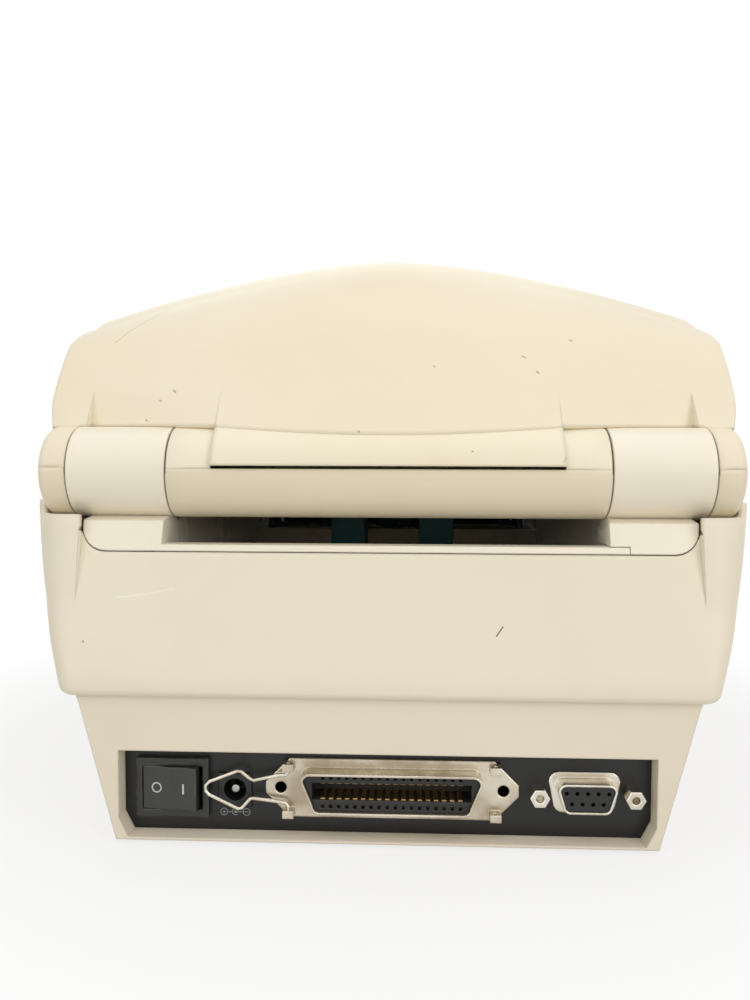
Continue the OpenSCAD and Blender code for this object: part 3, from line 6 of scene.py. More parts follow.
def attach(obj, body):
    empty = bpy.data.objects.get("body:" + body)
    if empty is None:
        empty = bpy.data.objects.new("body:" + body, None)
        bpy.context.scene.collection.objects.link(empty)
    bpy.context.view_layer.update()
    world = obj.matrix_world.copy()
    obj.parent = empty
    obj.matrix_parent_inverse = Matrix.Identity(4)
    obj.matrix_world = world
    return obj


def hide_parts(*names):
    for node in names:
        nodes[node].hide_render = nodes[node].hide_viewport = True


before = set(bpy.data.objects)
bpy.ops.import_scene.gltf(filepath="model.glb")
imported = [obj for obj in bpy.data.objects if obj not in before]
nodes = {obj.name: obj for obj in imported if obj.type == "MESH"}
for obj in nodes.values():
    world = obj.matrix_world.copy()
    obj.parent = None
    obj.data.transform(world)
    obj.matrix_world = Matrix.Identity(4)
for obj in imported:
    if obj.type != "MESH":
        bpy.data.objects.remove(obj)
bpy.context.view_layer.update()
print("frame loaded,", len(nodes), "nodes")

# Camera: a close view from behind, slightly above the hinge
cameraSettings = {"place": (-0.00608, 0.326, 0.1045), "yaw": 2.3203, "pitch": 3.0, "roll": -0.1835,
                  "lens": 30.24}


def makeCamera(settings):
    # Right, up and forward come from turning by yaw, then pitch, then roll, in axes left, up, away
    yaw, pitch, roll = (np.radians(settings[k]) for k in ("yaw", "pitch", "roll"))
    turnYaw = np.array([[np.cos(yaw), 0, np.sin(yaw)], [0, 1, 0], [-np.sin(yaw), 0, np.cos(yaw)]])
    turnPitch = np.array([[1, 0, 0], [0, np.cos(pitch), np.sin(pitch)], [0, -np.sin(pitch), np.cos(pitch)]])
    turnRoll = np.array([[np.cos(roll), -np.sin(roll), 0], [np.sin(roll), np.cos(roll), 0], [0, 0, 1]])
    axes = turnRoll @ turnPitch @ turnYaw
    world = np.array([[-a[0], -a[2], a[1]] for a in axes])
    turned = np.eye(4)
    turned[:3, 0], turned[:3, 1], turned[:3, 2] = world[0], world[1], -world[2]
    turned[:3, 3] = settings["place"]
    data = bpy.data.cameras.new("rearCamera")
    data.sensor_fit, data.sensor_height, data.sensor_width = "VERTICAL", 36, 27
    data.lens, data.clip_start = settings["lens"], 0.01
    camera = bpy.data.objects.new("rearCamera", data)
    bpy.context.scene.collection.objects.link(camera)
    camera.matrix_world = Matrix(turned.tolist())
    bpy.context.scene.camera = camera


makeCamera(cameraSettings)
bpy.context.scene.view_settings.view_transform = "Standard"

# Meshes from grids of points


def gridPiece(name, points, body, finish, smooth=30, wall=0, closed=False, flip=False):
    # A surface through points[row, column], in millimetres; wall gives it a thickness inwards
    rows, columns = points.shape[:2]
    index = np.arange(rows * columns).reshape(rows, columns)
    if closed:
        index = np.concatenate([index, index[:, :1]], axis=1)
    quads = np.stack([index[:-1, :-1], index[1:, :-1], index[1:, 1:], index[:-1, 1:]], axis=-1).reshape(-1, 4)
    if flip:
        quads = quads[:, ::-1]
    return meshPiece(name, points.reshape(-1, 3), quads, body, finish, smooth, wall)


def meshPiece(name, points, faces, body, finish, smooth=30, wall=0):
    # One object from points in millimetres; edges turning by more than smooth degrees stay sharp
    mesh = bpy.data.meshes.new(name)
    mesh.from_pydata((np.asarray(points, float) * 0.001).tolist(), [], np.asarray(faces).tolist())
    mesh.polygons.foreach_set("use_smooth", np.ones(len(mesh.polygons), bool))
    mesh.set_sharp_from_angle(angle=np.radians(smooth))
    piece = bpy.data.objects.new(name, mesh)
    bpy.context.scene.collection.objects.link(piece)
    mesh.materials.append(finish)
    if wall:
        solid = piece.modifiers.new("wall", "SOLIDIFY")
        solid.thickness, solid.offset = wall * 0.001, -1
    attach(piece, body)
    return piece


# Shared shader groups


def newGroup(name, inputs, outputs):
    # A shader group with its sockets, and the nodes at its two ends
    group = bpy.data.node_groups.new(name, "ShaderNodeTree")
    for label, kind, value in inputs:
        socket = group.interface.new_socket(label, in_out="INPUT", socket_type=kind)
        if value is not None:
            socket.default_value = value
    for label, kind in outputs:
        group.interface.new_socket(label, in_out="OUTPUT", socket_type=kind)
    return group, group.nodes.new("NodeGroupInput"), group.nodes.new("NodeGroupOutput")


def mathNode(tree, operation, *values, clamp=False):
    node = tree.nodes.new("ShaderNodeMath")
    node.operation, node.use_clamp = operation, clamp
    for i, value in enumerate(values):
        if isinstance(value, bpy.types.NodeSocket):
            tree.links.new(value, node.inputs[i])
        else:
            node.inputs[i].default_value = value
    return node.outputs[0]


def rangeNode(tree, value, low, high, outLow=0.0, outHigh=1.0):
    node = tree.nodes.new("ShaderNodeMapRange")
    node.interpolation_type = "SMOOTHSTEP"
    tree.links.new(value, node.inputs["Value"])
    for label, number in (("From Min", low), ("From Max", high), ("To Min", outLow), ("To Max", outHigh)):
        if isinstance(number, bpy.types.NodeSocket):
            tree.links.new(number, node.inputs[label])
        else:
            node.inputs[label].default_value = number
    return node.outputs["Result"]


def noiseNode(tree, vector, scale, detail=3, rough=0.55):
    node = tree.nodes.new("ShaderNodeTexNoise")
    node.inputs["Detail"].default_value = detail
    node.inputs["Roughness"].default_value = rough
    tree.links.new(vector, node.inputs["Vector"])
    if isinstance(scale, bpy.types.NodeSocket):
        tree.links.new(scale, node.inputs["Scale"])
    else:
        node.inputs["Scale"].default_value = scale
    return node.outputs["Fac"]


def makeGrain():
    # Height of a spark-eroded mould face: a fine noise over a broad one
    group, source, sink = newGroup("mouldGrain", [("Vector", "NodeSocketVector", None),
                                                  ("Scale", "NodeSocketFloat", 2500)],
                                   [("Height", "NodeSocketFloat")])
    fine = noiseNode(group, source.outputs["Vector"], source.outputs["Scale"], 2)
    broad = noiseNode(group, source.outputs["Vector"],
                      mathNode(group, "MULTIPLY", source.outputs["Scale"], 0.23), 2)
    group.links.new(mathNode(group, "ADD", mathNode(group, "MULTIPLY", fine, 0.7),
                             mathNode(group, "MULTIPLY", broad, 0.3)),
                    sink.inputs["Height"])
    return group


def makeTone():
    # Cloudy change of tone over the surface, and small specks
    group, source, sink = newGroup("toneClouds", [("Vector", "NodeSocketVector", None),
                                                  ("Scale", "NodeSocketFloat", 12),
                                                  ("Speck Share", "NodeSocketFloat", 0.05)],
                                   [("Clouds", "NodeSocketFloat"), ("Specks", "NodeSocketFloat")])
    clouds = noiseNode(group, source.outputs["Vector"], source.outputs["Scale"], 4)
    group.links.new(rangeNode(group, clouds, 0.35, 0.65), sink.inputs["Clouds"])
    cells = group.nodes.new("ShaderNodeTexVoronoi")
    cells.inputs["Scale"].default_value = 260
    group.links.new(source.outputs["Vector"], cells.inputs["Vector"])
    pick = group.nodes.new("ShaderNodeSeparateColor")
    group.links.new(cells.outputs["Color"], pick.inputs["Color"])
    chosen = mathNode(group, "LESS_THAN", pick.outputs["Red"], source.outputs["Speck Share"])
    size = mathNode(group, "MULTIPLY", pick.outputs["Green"], 0.11)
    near = mathNode(group, "LESS_THAN", cells.outputs["Distance"], size)
    group.links.new(mathNode(group, "MULTIPLY", chosen, near), sink.inputs["Specks"])
    return group


def makeEdge():
    # 1 at outer edges, 0 on open faces, from the angle between the rounded and the true normal
    group, source, sink = newGroup("edgeWear", [("Vector", "NodeSocketVector", None)],
                                   [("Mask", "NodeSocketFloat"), ("Normal", "NodeSocketVector")])
    bevel = group.nodes.new("ShaderNodeBevel")
    bevel.samples = 6
    bevel.inputs["Radius"].default_value = 0.0007
    geometry = group.nodes.new("ShaderNodeNewGeometry")
    dot = group.nodes.new("ShaderNodeVectorMath")
    dot.operation = "DOT_PRODUCT"
    group.links.new(bevel.outputs["Normal"], dot.inputs[0])
    group.links.new(geometry.outputs["Normal"], dot.inputs[1])
    edge = rangeNode(group, dot.outputs["Value"], 0.995, 0.85)
    patch = rangeNode(group, noiseNode(group, source.outputs["Vector"], 90, 4), 0.42, 0.62)
    group.links.new(mathNode(group, "MULTIPLY", edge, patch), sink.inputs["Mask"])
    group.links.new(bevel.outputs["Normal"], sink.inputs["Normal"])
    return group


def makeStroke():
    # A soft line on the rear half from one point to another, seen along Y: 1 on the line, 0 beyond its width
    group, source, sink = newGroup("strokeMark", [("Vector", "NodeSocketVector", None),
                                                  ("Start", "NodeSocketVector", (0, 0, 0)),
                                                  ("End", "NodeSocketVector", (0, 0, 0.01)),
                                                  ("Width", "NodeSocketFloat", 0.0003)],
                                   [("Mask", "NodeSocketFloat")])

    def flat(vector):
        node = group.nodes.new("ShaderNodeVectorMath")
        node.operation = "MULTIPLY"
        group.links.new(vector, node.inputs[0])
        node.inputs[1].default_value = (1, 0, 1)
        return node.outputs[0]

    def vectorNode(operation, a, b):
        node = group.nodes.new("ShaderNodeVectorMath")
        node.operation = operation
        group.links.new(a, node.inputs[0])
        group.links.new(b, node.inputs[1])
        return node

    start, end, point = (flat(source.outputs[k]) for k in ("Start", "End", "Vector"))
    along = vectorNode("SUBTRACT", end, start).outputs[0]
    away = vectorNode("SUBTRACT", point, start).outputs[0]
    share = mathNode(group, "DIVIDE", vectorNode("DOT_PRODUCT", away, along).outputs["Value"],
                     vectorNode("DOT_PRODUCT", along, along).outputs["Value"], clamp=True)
    scaled = group.nodes.new("ShaderNodeVectorMath")
    scaled.operation = "SCALE"
    group.links.new(along, scaled.inputs[0])
    group.links.new(share, scaled.inputs["Scale"])
    apart = vectorNode("DISTANCE", away, scaled.outputs[0]).outputs["Value"]
    line = rangeNode(group, apart, mathNode(group, "MULTIPLY", source.outputs["Width"], 0.4),
                     source.outputs["Width"], 1, 0)
    split = group.nodes.new("ShaderNodeSeparateXYZ")
    group.links.new(source.outputs["Vector"], split.inputs[0])
    group.links.new(mathNode(group, "MULTIPLY", line, mathNode(group, "GREATER_THAN", split.outputs["Y"], 0)),
                    sink.inputs["Mask"])
    return group


grainGroup, toneGroup, edgeGroup, strokeGroup = makeGrain(), makeTone(), makeEdge(), makeStroke()


def toLinear(colour):
    # A screen colour of 0 to 255 as the linear colour that a shader takes
    c = np.asarray(colour, float) / 255
    return (*np.where(c <= 0.04045, c / 12.92, ((c + 0.055) / 1.055) ** 2.4).tolist(), 1)


def mixColour(tree, share, first, second):
    node = tree.nodes.new("ShaderNodeMix")
    node.data_type = "RGBA"
    for socket, value in ((node.inputs["Factor"], share), (node.inputs["A"], first),
                          (node.inputs["B"], second)):
        if isinstance(value, bpy.types.NodeSocket):
            tree.links.new(value, socket)
        else:
            socket.default_value = value
    return node.outputs["Result"]


def placeGroup(tree, group, vector):
    node = tree.nodes.new("ShaderNodeGroup")
    node.node_tree = group
    tree.links.new(vector, node.inputs["Vector"])
    return node


def makeFinish(name, colour, cloud=None, rough=0.45, metallic=0.0, grain=2500, bump=0.15, wear=None,
               specks=0.04, speckColour=(120, 104, 84), coat=0.0, marks=(), clouds=12, roughShift=0.12,
               ior=1.5):
    # Principled finish: base colour with clouds, specks, worn edges and line marks, over a fine grain
    finish = bpy.data.materials.new(name)
    finish.use_nodes = True
    tree = finish.node_tree
    shader = tree.nodes["Principled BSDF"]
    shader.inputs["Metallic"].default_value = metallic
    shader.inputs["IOR"].default_value = ior
    shader.inputs["Coat Weight"].default_value = coat
    shader.inputs["Coat Roughness"].default_value = 0.25
    place = tree.nodes.new("ShaderNodeTexCoord").outputs["Object"]
    tone = placeGroup(tree, toneGroup, place)
    tone.inputs["Scale"].default_value = clouds
    tone.inputs["Speck Share"].default_value = specks
    edge = placeGroup(tree, edgeGroup, place)
    base = mixColour(tree, tone.outputs["Clouds"], toLinear(colour), toLinear(cloud or colour))
    base = mixColour(tree, edge.outputs["Mask"], base, toLinear(wear or colour))
    base = mixColour(tree, mathNode(tree, "MULTIPLY", tone.outputs["Specks"], 0.6), base,
                     toLinear(speckColour))
    for start, end, width, strength, markColour in marks:
        stroke = placeGroup(tree, strokeGroup, place)
        stroke.inputs["Start"].default_value = [v * 0.001 for v in start]
        stroke.inputs["End"].default_value = [v * 0.001 for v in end]
        stroke.inputs["Width"].default_value = width * 0.001
        base = mixColour(tree, mathNode(tree, "MULTIPLY", stroke.outputs["Mask"], strength), base,
                         toLinear(markColour))
    tree.links.new(base, shader.inputs["Base Color"])
    gloss = mathNode(tree, "MULTIPLY_ADD", tone.outputs["Clouds"], roughShift, rough - roughShift / 2)
    tree.links.new(gloss, shader.inputs["Roughness"])
    relief = placeGroup(tree, grainGroup, place)
    relief.inputs["Scale"].default_value = grain
    bumpNode = tree.nodes.new("ShaderNodeBump")
    bumpNode.inputs["Strength"].default_value = bump
    bumpNode.inputs["Distance"].default_value = 0.0002
    tree.links.new(relief.outputs["Height"], bumpNode.inputs["Height"])
    tree.links.new(edge.outputs["Normal"], bumpNode.inputs["Normal"])
    tree.links.new(bumpNode.outputs["Normal"], shader.inputs["Normal"])
    return finish


def rearMark(x0, z0, x1, z1, width, strength, colour=(110, 96, 78)):
    # A line on the rear between two places in X and Z, in millimetres
    return (x0, 0, z0), (x1, 0, z1), width, strength, colour


scuff, rubbed, pale = (150, 132, 104), (190, 150, 112), (252, 246, 232)
finishes = {
    "lidPlastic": dict(colour=(238, 226, 199), cloud=(242, 232, 208), rough=0.42, wear=(248, 240, 222),
                       specks=0.03,
                       marks=[rearMark(83.8, 138.7, 71, 152.8, 0.22, 0.3),
                              rearMark(62, 123.2, 61.4, 122.7, 0.4, 0.7, scuff),
                              rearMark(65.8, 120.3, 65.3, 120.1, 0.35, 0.6, scuff),
                              rearMark(69.3, 114.6, 68.9, 114.4, 0.35, 0.6, scuff),
                              rearMark(-38.5, 133.4, -39.4, 133, 0.3, 0.55),
                              rearMark(-42.4, 128.7, -42.9, 128.3, 0.35, 0.6),
                              rearMark(-53, 138.7, -53.4, 138.4, 0.35, 0.55),
                              rearMark(-12.9, 130.3, -13.3, 130, 0.3, 0.5)]),
    "flapPlastic": dict(colour=(243, 233, 206), cloud=(246, 237, 214), rough=0.4, wear=(225, 212, 186),
                        specks=0.03, marks=[rearMark(-47.3, 103.0, -47.8, 104.2, 0.35, 0.4, rubbed)]),
    "bodyPlastic": dict(colour=(236, 225, 202), cloud=(240, 231, 211), rough=0.44, wear=(246, 238, 220),
                        specks=0.03,
                        marks=[rearMark(-31, 59.6, -29.3, 57.3, 0.26, 0.9, (96, 80, 62)),
                               rearMark(73.0, 66.0, 65.8, 66.9, 0.28, 0.7, pale),
                               rearMark(65.8, 66.9, 57.4, 68.4, 0.22, 0.6, pale)]),
    "trayPlastic": dict(colour=(238, 227, 206), cloud=(242, 232, 212), rough=0.46, wear=(240, 231, 212),
                        specks=0.04),
    "hingePlastic": dict(colour=(250, 243, 226), cloud=(246, 238, 219), rough=0.3, wear=(236, 224, 200),
                         specks=0.02, coat=0.15),
    "framePlastic": dict(colour=(240, 229, 203), cloud=(236, 225, 199), rough=0.42, wear=(246, 238, 220)),
    "panelBlack": dict(colour=(10, 10, 10), cloud=(15, 15, 15), rough=0.34, wear=(62, 60, 58), specks=0.06,
                       speckColour=(120, 116, 108), grain=3500),
    "switchBlack": dict(colour=(38, 39, 36), cloud=(46, 46, 43), rough=0.3, wear=(86, 86, 80), specks=0.05,
                        speckColour=(150, 148, 140)),
    "rockerBlack": dict(colour=(50, 51, 47), cloud=(56, 57, 52), rough=0.33, wear=(104, 104, 98), specks=0.05,
                        speckColour=(150, 148, 140)),
    "jackBlack": dict(colour=(24, 24, 24), cloud=(30, 30, 30), rough=0.35, wear=(70, 70, 66), specks=0.05,
                      speckColour=(140, 136, 128)),
    "portTin": dict(colour=(220, 211, 192), cloud=(182, 169, 147), rough=0.3, metallic=0.9,
                    wear=(226, 216, 196), clouds=70, specks=0.10, speckColour=(84, 66, 48), bump=0.08,
                    roughShift=0.25),
    "nickel": dict(colour=(228, 222, 208), cloud=(204, 194, 174), rough=0.22, metallic=1.0,
                   wear=(240, 236, 226), clouds=60, specks=0.05, speckColour=(110, 100, 86), bump=0.05),
    "zinc": dict(colour=(200, 200, 198), cloud=(172, 170, 166), rough=0.3, metallic=1.0, wear=(230, 230, 228),
                 clouds=80, specks=0.05, bump=0.06),
    "gold": dict(colour=(226, 186, 104), cloud=(206, 162, 84), rough=0.26, metallic=1.0, wear=(244, 214, 150),
                 clouds=90, bump=0.04),
    "socketBlack": dict(colour=(27, 27, 26), cloud=(34, 34, 33), rough=0.5, wear=(64, 60, 56), specks=0.06,
                        speckColour=(120, 110, 96)),
    "socketGrey": dict(colour=(62, 62, 60), cloud=(72, 72, 70), rough=0.5, wear=(96, 96, 92)),
    "rubber": dict(colour=(34, 34, 34), cloud=(42, 42, 41), rough=0.75, wear=(60, 60, 58), grain=1500,
                   bump=0.3, specks=0.08, speckColour=(130, 128, 124)),
    "tealPlastic": dict(colour=(30, 98, 104), cloud=(26, 86, 92), rough=0.4, wear=(70, 140, 144)),
    "boardGreen": dict(colour=(34, 92, 52), cloud=(28, 78, 44), rough=0.35, wear=(150, 170, 120), grain=1200),
    "capBlue": dict(colour=(38, 48, 78), cloud=(46, 56, 88), rough=0.3, coat=0.3),
    "nylon": dict(colour=(232, 228, 212), cloud=(224, 218, 200), rough=0.45, wear=(244, 240, 228)),
    "aluminium": dict(colour=(206, 208, 210), cloud=(190, 192, 195), rough=0.36, metallic=1.0, grain=900,
                      bump=0.12),
    "ceramic": dict(colour=(232, 228, 216), cloud=(226, 220, 206), rough=0.2, coat=0.4, bump=0.03),
    "buttonGrey": dict(colour=(96, 104, 100), cloud=(90, 98, 94), rough=0.4, wear=(140, 148, 144)),
    "lensGreen": dict(colour=(110, 190, 112), cloud=(96, 176, 100), rough=0.15, coat=0.6, bump=0.02),
}
finish = {name: makeFinish(name, **spec) for name, spec in finishes.items()}
print("finishes made,", len(finish))

# Finishes of the pieces that stay as built
nodeFinish = {
    "trayPlastic": ["base_tray"], "rubber": ["rubber_feet", "platen_roller"],
    "zinc": ["case_screws", "board_screws", "bay_screws", "hinge_pins", "platen_shaft", "motor_shaft",
             "motor_plate", "motor_screws", "lever_pins", "lid_screws", "latch_bar", "head_springs",
             "tear_bar", "power_jack_pin"],
    "panelBlack": ["connector_panel"], "boardGreen": ["main_board", "button_board"],
    "socketBlack": ["board_chips", "ribbon_port_core", "serial_port_core", "label_sensor"],
    "capBlue": ["board_capacitors"],
    "switchBlack": ["switch_housing"], "rockerBlack": ["power_rocker"], "jackBlack": ["power_jack"],
    "portTin": ["ribbon_port_shell"], "gold": ["ribbon_port_contacts", "motor_pinion", "holder_pinion"],
    "nickel": ["serial_port_shell", "retaining_wire", "jackscrews"], "bodyPlastic": ["body_shell"],
    "lidPlastic": ["lid_shell"],
    "hingePlastic": ["media_bay", "hinge_block"], "framePlastic": ["lid_frame"],
    "nylon": ["platen_bushes", "platen_gear", "idler_gear"], "aluminium": ["stepper_motor", "head_bracket"],
    "tealPlastic": ["media_guide_left", "media_guide_right", "guide_wheel", "roll_holder_left",
                    "roll_holder_right", "release_lever_left", "release_lever_right"],
    "buttonGrey": ["feed_button"], "lensGreen": ["status_lens"], "ceramic": ["print_head"],
}
for name, members in nodeFinish.items():
    for member in members:
        nodes[member].data.materials.clear()
        nodes[member].data.materials.append(finish[name])
missing = set(nodes) - {m for members in nodeFinish.values() for m in members}
print("nodes without a finish:", sorted(missing))

# Lid: the domed cover, worked out station by station across its width
lid = {"halfWidth": 100.5, "hingeY": 86.5, "hingeZ": 99.8, "barrelRadius": 12.9, "flapRadius": 14.4,
       "flapHalf": 48.0, "barrelHalf": 60.5, "capFrom": 88.6, "capEnd": 96.7, "height": 173.0, "peakY": 16.0,
       "shoulder": 74.0, "slope": 140.0, "crown": (0.01272, 1.6), "lean": 33.0, "rearShare": 0.65,
       "frontY": -107.0, "cornerRadius": 16.0, "shellHalf": 99.0, "scoopHalf": 86.3, "cradleFront": 73.1,
       "edgeRound": 1.2, "wall": 2.0, "flapFrom": 8.6, "splitAt": 5.0, "capSplitAt": 6.0,
       "crease": (46.0, 61.0), "blend": 12.0, "mouthHalf": 58.0, "mouthZ": 92.0,
       "drawY": (48.0, 76.0), "drawZ": (106.0, 122.0), "drawFrom": 92.0, "drawShare": 0.47,
       "rearBlend": (50.0, 68.0), "scoopDeep": 4.0, "scoopGrow": 36.0, "scoopFade": (13.0, 23.0),
       "barrelRise": 13.0, "lipFrom": 60.7, "lipTo": 88.3, "lipRise": 13.15, "sink": 0.2,
       "slopeTurn": (91.5, 146.0), "cornerBlend": (-50.0, -95.0), "flare": 1.45, "footZ": 80.2,
       "jointGap": 0.8}
joint = {"levelZ": 92.0, "levelFrom": 20.0, "frontZ": 79.0, "frontY": -110.5}
leanAngle = np.radians(lid["lean"])


def smoothStep(value, low, high):
    # 0 below low, 1 above high, and 3 t^2 - 2 t^3 between them
    t = np.clip((value - low) / (high - low), 0, 1)
    return t * t * (3 - 2 * t)


def crownDrop(x):
    # How far the dome has fallen x to the side of its middle: gain * |x| ^ power
    return lid["crown"][0] * np.abs(x) ** lid["crown"][1]


def dropShare(y):
    # Share of the crown's fall: 1 in front, turning into rearShare towards the leaning rear face
    low, high = lid["rearBlend"]
    return 1 - (1 - lid["rearShare"]) * np.clip((y - low) / (high - low), 0, 1)


def scoop(x, z):
    # Forward hollow beside the flap: deepens evenly sideways, and fades out evenly above the hinge
    side = np.clip((np.abs(x) - lid["flapHalf"]) / lid["scoopGrow"], 0, 1) * (np.abs(x) <= lid["scoopHalf"])
    low, high = lid["scoopFade"]
    return lid["scoopDeep"] * side * np.clip((lid["hingeZ"] + high - z) / (high - low), 0, 1)


def leanDistance(x, extra):
    # Distance of the leaning face from the hinge axis, square to the face: that of the shoulder's centre,
    # plus the shoulder's radius, less the crown's fall
    c, s = np.cos(leanAngle), np.sin(leanAngle)
    shoulderZ = lid["height"] - lid["shoulder"]
    return c * (lid["peakY"] - lid["hingeY"]) + s * (shoulderZ - lid["hingeZ"]) + lid["shoulder"] \
        - lid["rearShare"] * (crownDrop(x) + extra) * s


def leanAt(x, z, extra):
    # Where the leaning face stands at height z: (distance - sin(lean) * height over the hinge) / cos(lean)
    level = np.sin(leanAngle) * (z - lid["hingeZ"])
    return lid["hingeY"] + (leanDistance(x, extra) - level) / np.cos(leanAngle) - scoop(x, z)


def jointLine(y):
    # Height of the joint between lid and body: level behind, a straight fall towards the front
    fall, length = joint["levelZ"] - joint["frontZ"], joint["levelFrom"] - joint["frontY"]
    slanted = joint["frontZ"] + fall * (y - joint["frontY"]) / length
    return np.where(y >= joint["levelFrom"], joint["levelZ"], slanted)


def cornerBack(x, radius):
    # How far the front steps back at x in a rounded corner: radius - sqrt(radius^2 - way into it^2)
    c = np.clip(np.abs(x) - lid["halfWidth"] + radius, 0, radius)
    return radius - np.sqrt(radius ** 2 - c ** 2)


def lidStations():
    # x, extra drop and share of the side wall for each row, from one lower edge over the top to the other
    r, half = lid["edgeRound"], lid["shellHalf"]
    flap, mouth, hollow = lid["flapHalf"], lid["mouthHalf"], lid["scoopHalf"]
    fixed = [flap, flap + 0.05, mouth - 0.02, mouth + 0.02, lid["barrelHalf"], lid["lipFrom"] + 0.2,
             flap + lid["scoopGrow"], hollow - 0.05, hollow + 0.05, lid["lipTo"] - 0.3, lid["capFrom"]]
    top = np.unique(np.concatenate([np.linspace(0, half - r, 49), fixed]))
    turn = np.radians(np.linspace(12, 90, 7))
    xs = np.concatenate([top, half - r + r * np.sin(turn)])
    drops = np.concatenate([np.zeros(len(top)), r * (1 - np.cos(turn))])
    walls = np.zeros(len(xs))
    down = np.linspace(0.06, 1, 14)
    xs = np.concatenate([xs, half + lid["flare"] * down])
    drops = np.concatenate([drops, np.full(len(down), r)])
    walls = np.concatenate([walls, down])
    return (np.concatenate([-xs[:0:-1], xs]), np.concatenate([drops[:0:-1], drops]),
            np.concatenate([walls[:0:-1], walls]))


def creaseAngle(x):
    # Angle on the flap's arc where the leaning face begins: lowest in the middle, rising with x squared
    return lid["crease"][0] + (lid["crease"][1] - lid["crease"][0]) * (x / lid["flapHalf"]) ** 2


def creaseStart(x, extra):
    # Height where the leaning face begins: on the flap's arc, on the barrel, or on the free lip between
    size = np.abs(x)
    radius = lid["barrelRadius"] - lid["sink"]
    lean = leanDistance(x, extra) - np.cos(leanAngle) * scoop(x, lid["hingeZ"] + lid["barrelRise"])
    theta = leanAngle + np.arccos(np.clip(lean / radius, -1, 1))
    onFlap = lid["flapRadius"] * np.sin(np.radians(creaseAngle(x)))
    rise = np.where(size < lid["lipTo"], lid["lipRise"], radius * np.sin(theta))
    rise = np.where(size < lid["lipFrom"], lid["barrelRise"], rise)
    return lid["hingeZ"] + np.where(size <= lid["flapHalf"], onFlap, rise)


def creaseDip(x, z, z0, extra):
    # How far the face lies inside its plane at the flap's crease, fading out above it
    angle = np.radians(creaseAngle(x))
    inside = leanAt(x, z0, extra) - lid["hingeY"] - lid["flapRadius"] * np.cos(angle)
    return np.where(np.abs(x) <= lid["flapHalf"], inside, 0) * (1 - smoothStep(z - z0, 0, lid["blend"]))


def lidSurface():
    # Leaning line, then the shoulder's arc, the slope's arc and the front wall, each dropped by the crown
    xs, drops, walls = lidStations()
    x, extra, wall = xs[:, None], drops[:, None], walls[:, None]
    side = np.minimum(np.abs(x), lid["shellHalf"]) * np.sign(x)
    shoulderZ, slopeZ = lid["height"] - lid["shoulder"], lid["height"] - lid["slope"]
    top = crownDrop(side) + extra
    z0 = creaseStart(side, extra)
    z1 = shoulderZ + lid["shoulder"] * np.sin(leanAngle) - lid["rearShare"] * top
    z = z0 + (z1 - z0) * np.linspace(0, 1, 22)[None, :-1]
    rear = np.stack([leanAt(side, z, extra) - creaseDip(side, z, z0, extra), z], -1)
    a = np.linspace(leanAngle, np.pi / 2, 56)[None, :]
    arcs = np.stack([lid["peakY"] + lid["shoulder"] * np.cos(a) + 0 * x,
                     shoulderZ + lid["shoulder"] * np.sin(a) + 0 * x], -1)
    b = np.radians(np.linspace(*lid["slopeTurn"], 38))[None, :]
    slope = np.stack([lid["peakY"] + lid["slope"] * np.cos(b) + 0 * x,
                      slopeZ + lid["slope"] * np.sin(b) + 0 * x], -1)
    over = np.concatenate([arcs, slope], axis=1)
    over[..., 1] -= dropShare(over[..., 0]) * top
    back = cornerBack(np.minimum(np.abs(x), lid["halfWidth"] - 0.1), lid["cornerRadius"])
    blendFrom, blendTo = lid["cornerBlend"]
    over[..., 0] += back * np.clip((blendFrom - over[..., 0]) / (blendFrom - blendTo), 0, 1)
    footZ = np.where(np.abs(xs) < lid["mouthHalf"], lid["mouthZ"], lid["footZ"])
    foot = np.stack([lid["frontY"] - 0.5 + back[:, 0], footZ], -1)[:, None, :]
    t = np.linspace(0, 1, 9)[None, 1:, None]
    front = over[:, -1:, :] * (1 - t) + foot * t
    line = np.concatenate([rear, over, front], axis=1)
    y, z = line[..., 0], line[..., 1]
    bottom = np.where(y > lid["cradleFront"], lid["hingeZ"], jointLine(y) + lid["jointGap"])
    z = z * (1 - wall) + np.minimum(bottom, z) * wall
    drawn = smoothStep(y, *lid["drawY"]) * (1 - smoothStep(z, *lid["drawZ"]))
    x = x - np.sign(x) * np.maximum(np.abs(x) - lid["drawFrom"], 0) * lid["drawShare"] * drawn
    return np.stack([x, y, z], -1)


lidCover = gridPiece("lidCover", lidSurface(), "lid", finish["lidPlastic"], 40, lid["wall"],
                     flip=True)
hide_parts("lid_shell")


def ringSurface(profile, a0, a1, steps):
    # A profile of [x, radius] turned about the hinge axis from a0 to a1 degrees, one number or one per point
    low = np.broadcast_to(np.asarray(a0, float), (len(profile),))[:, None]
    high = np.broadcast_to(np.asarray(a1, float), (len(profile),))[:, None]
    angle = np.radians(low + (high - low) * np.linspace(0, 1, steps)[None, :])
    x, radius = profile[:, 0][:, None], profile[:, 1][:, None]
    return np.stack([np.broadcast_to(x, angle.shape), lid["hingeY"] + radius * np.cos(angle),
                     lid["hingeZ"] + radius * np.sin(angle)], -1)


def flapSurface():
    # The flap over the barrel: an arc from its lower edge up to the crease of the leaning face
    x = np.linspace(-lid["flapHalf"], lid["flapHalf"], 65)
    profile = np.stack([x, np.full(len(x), lid["flapRadius"])], -1)
    return ringSurface(profile, lid["flapFrom"], creaseAngle(x) + 0.4, 28)


gridPiece("lidFlap", flapSurface(), "lid", finish["flapPlastic"], 40, 1.4, flip=True)

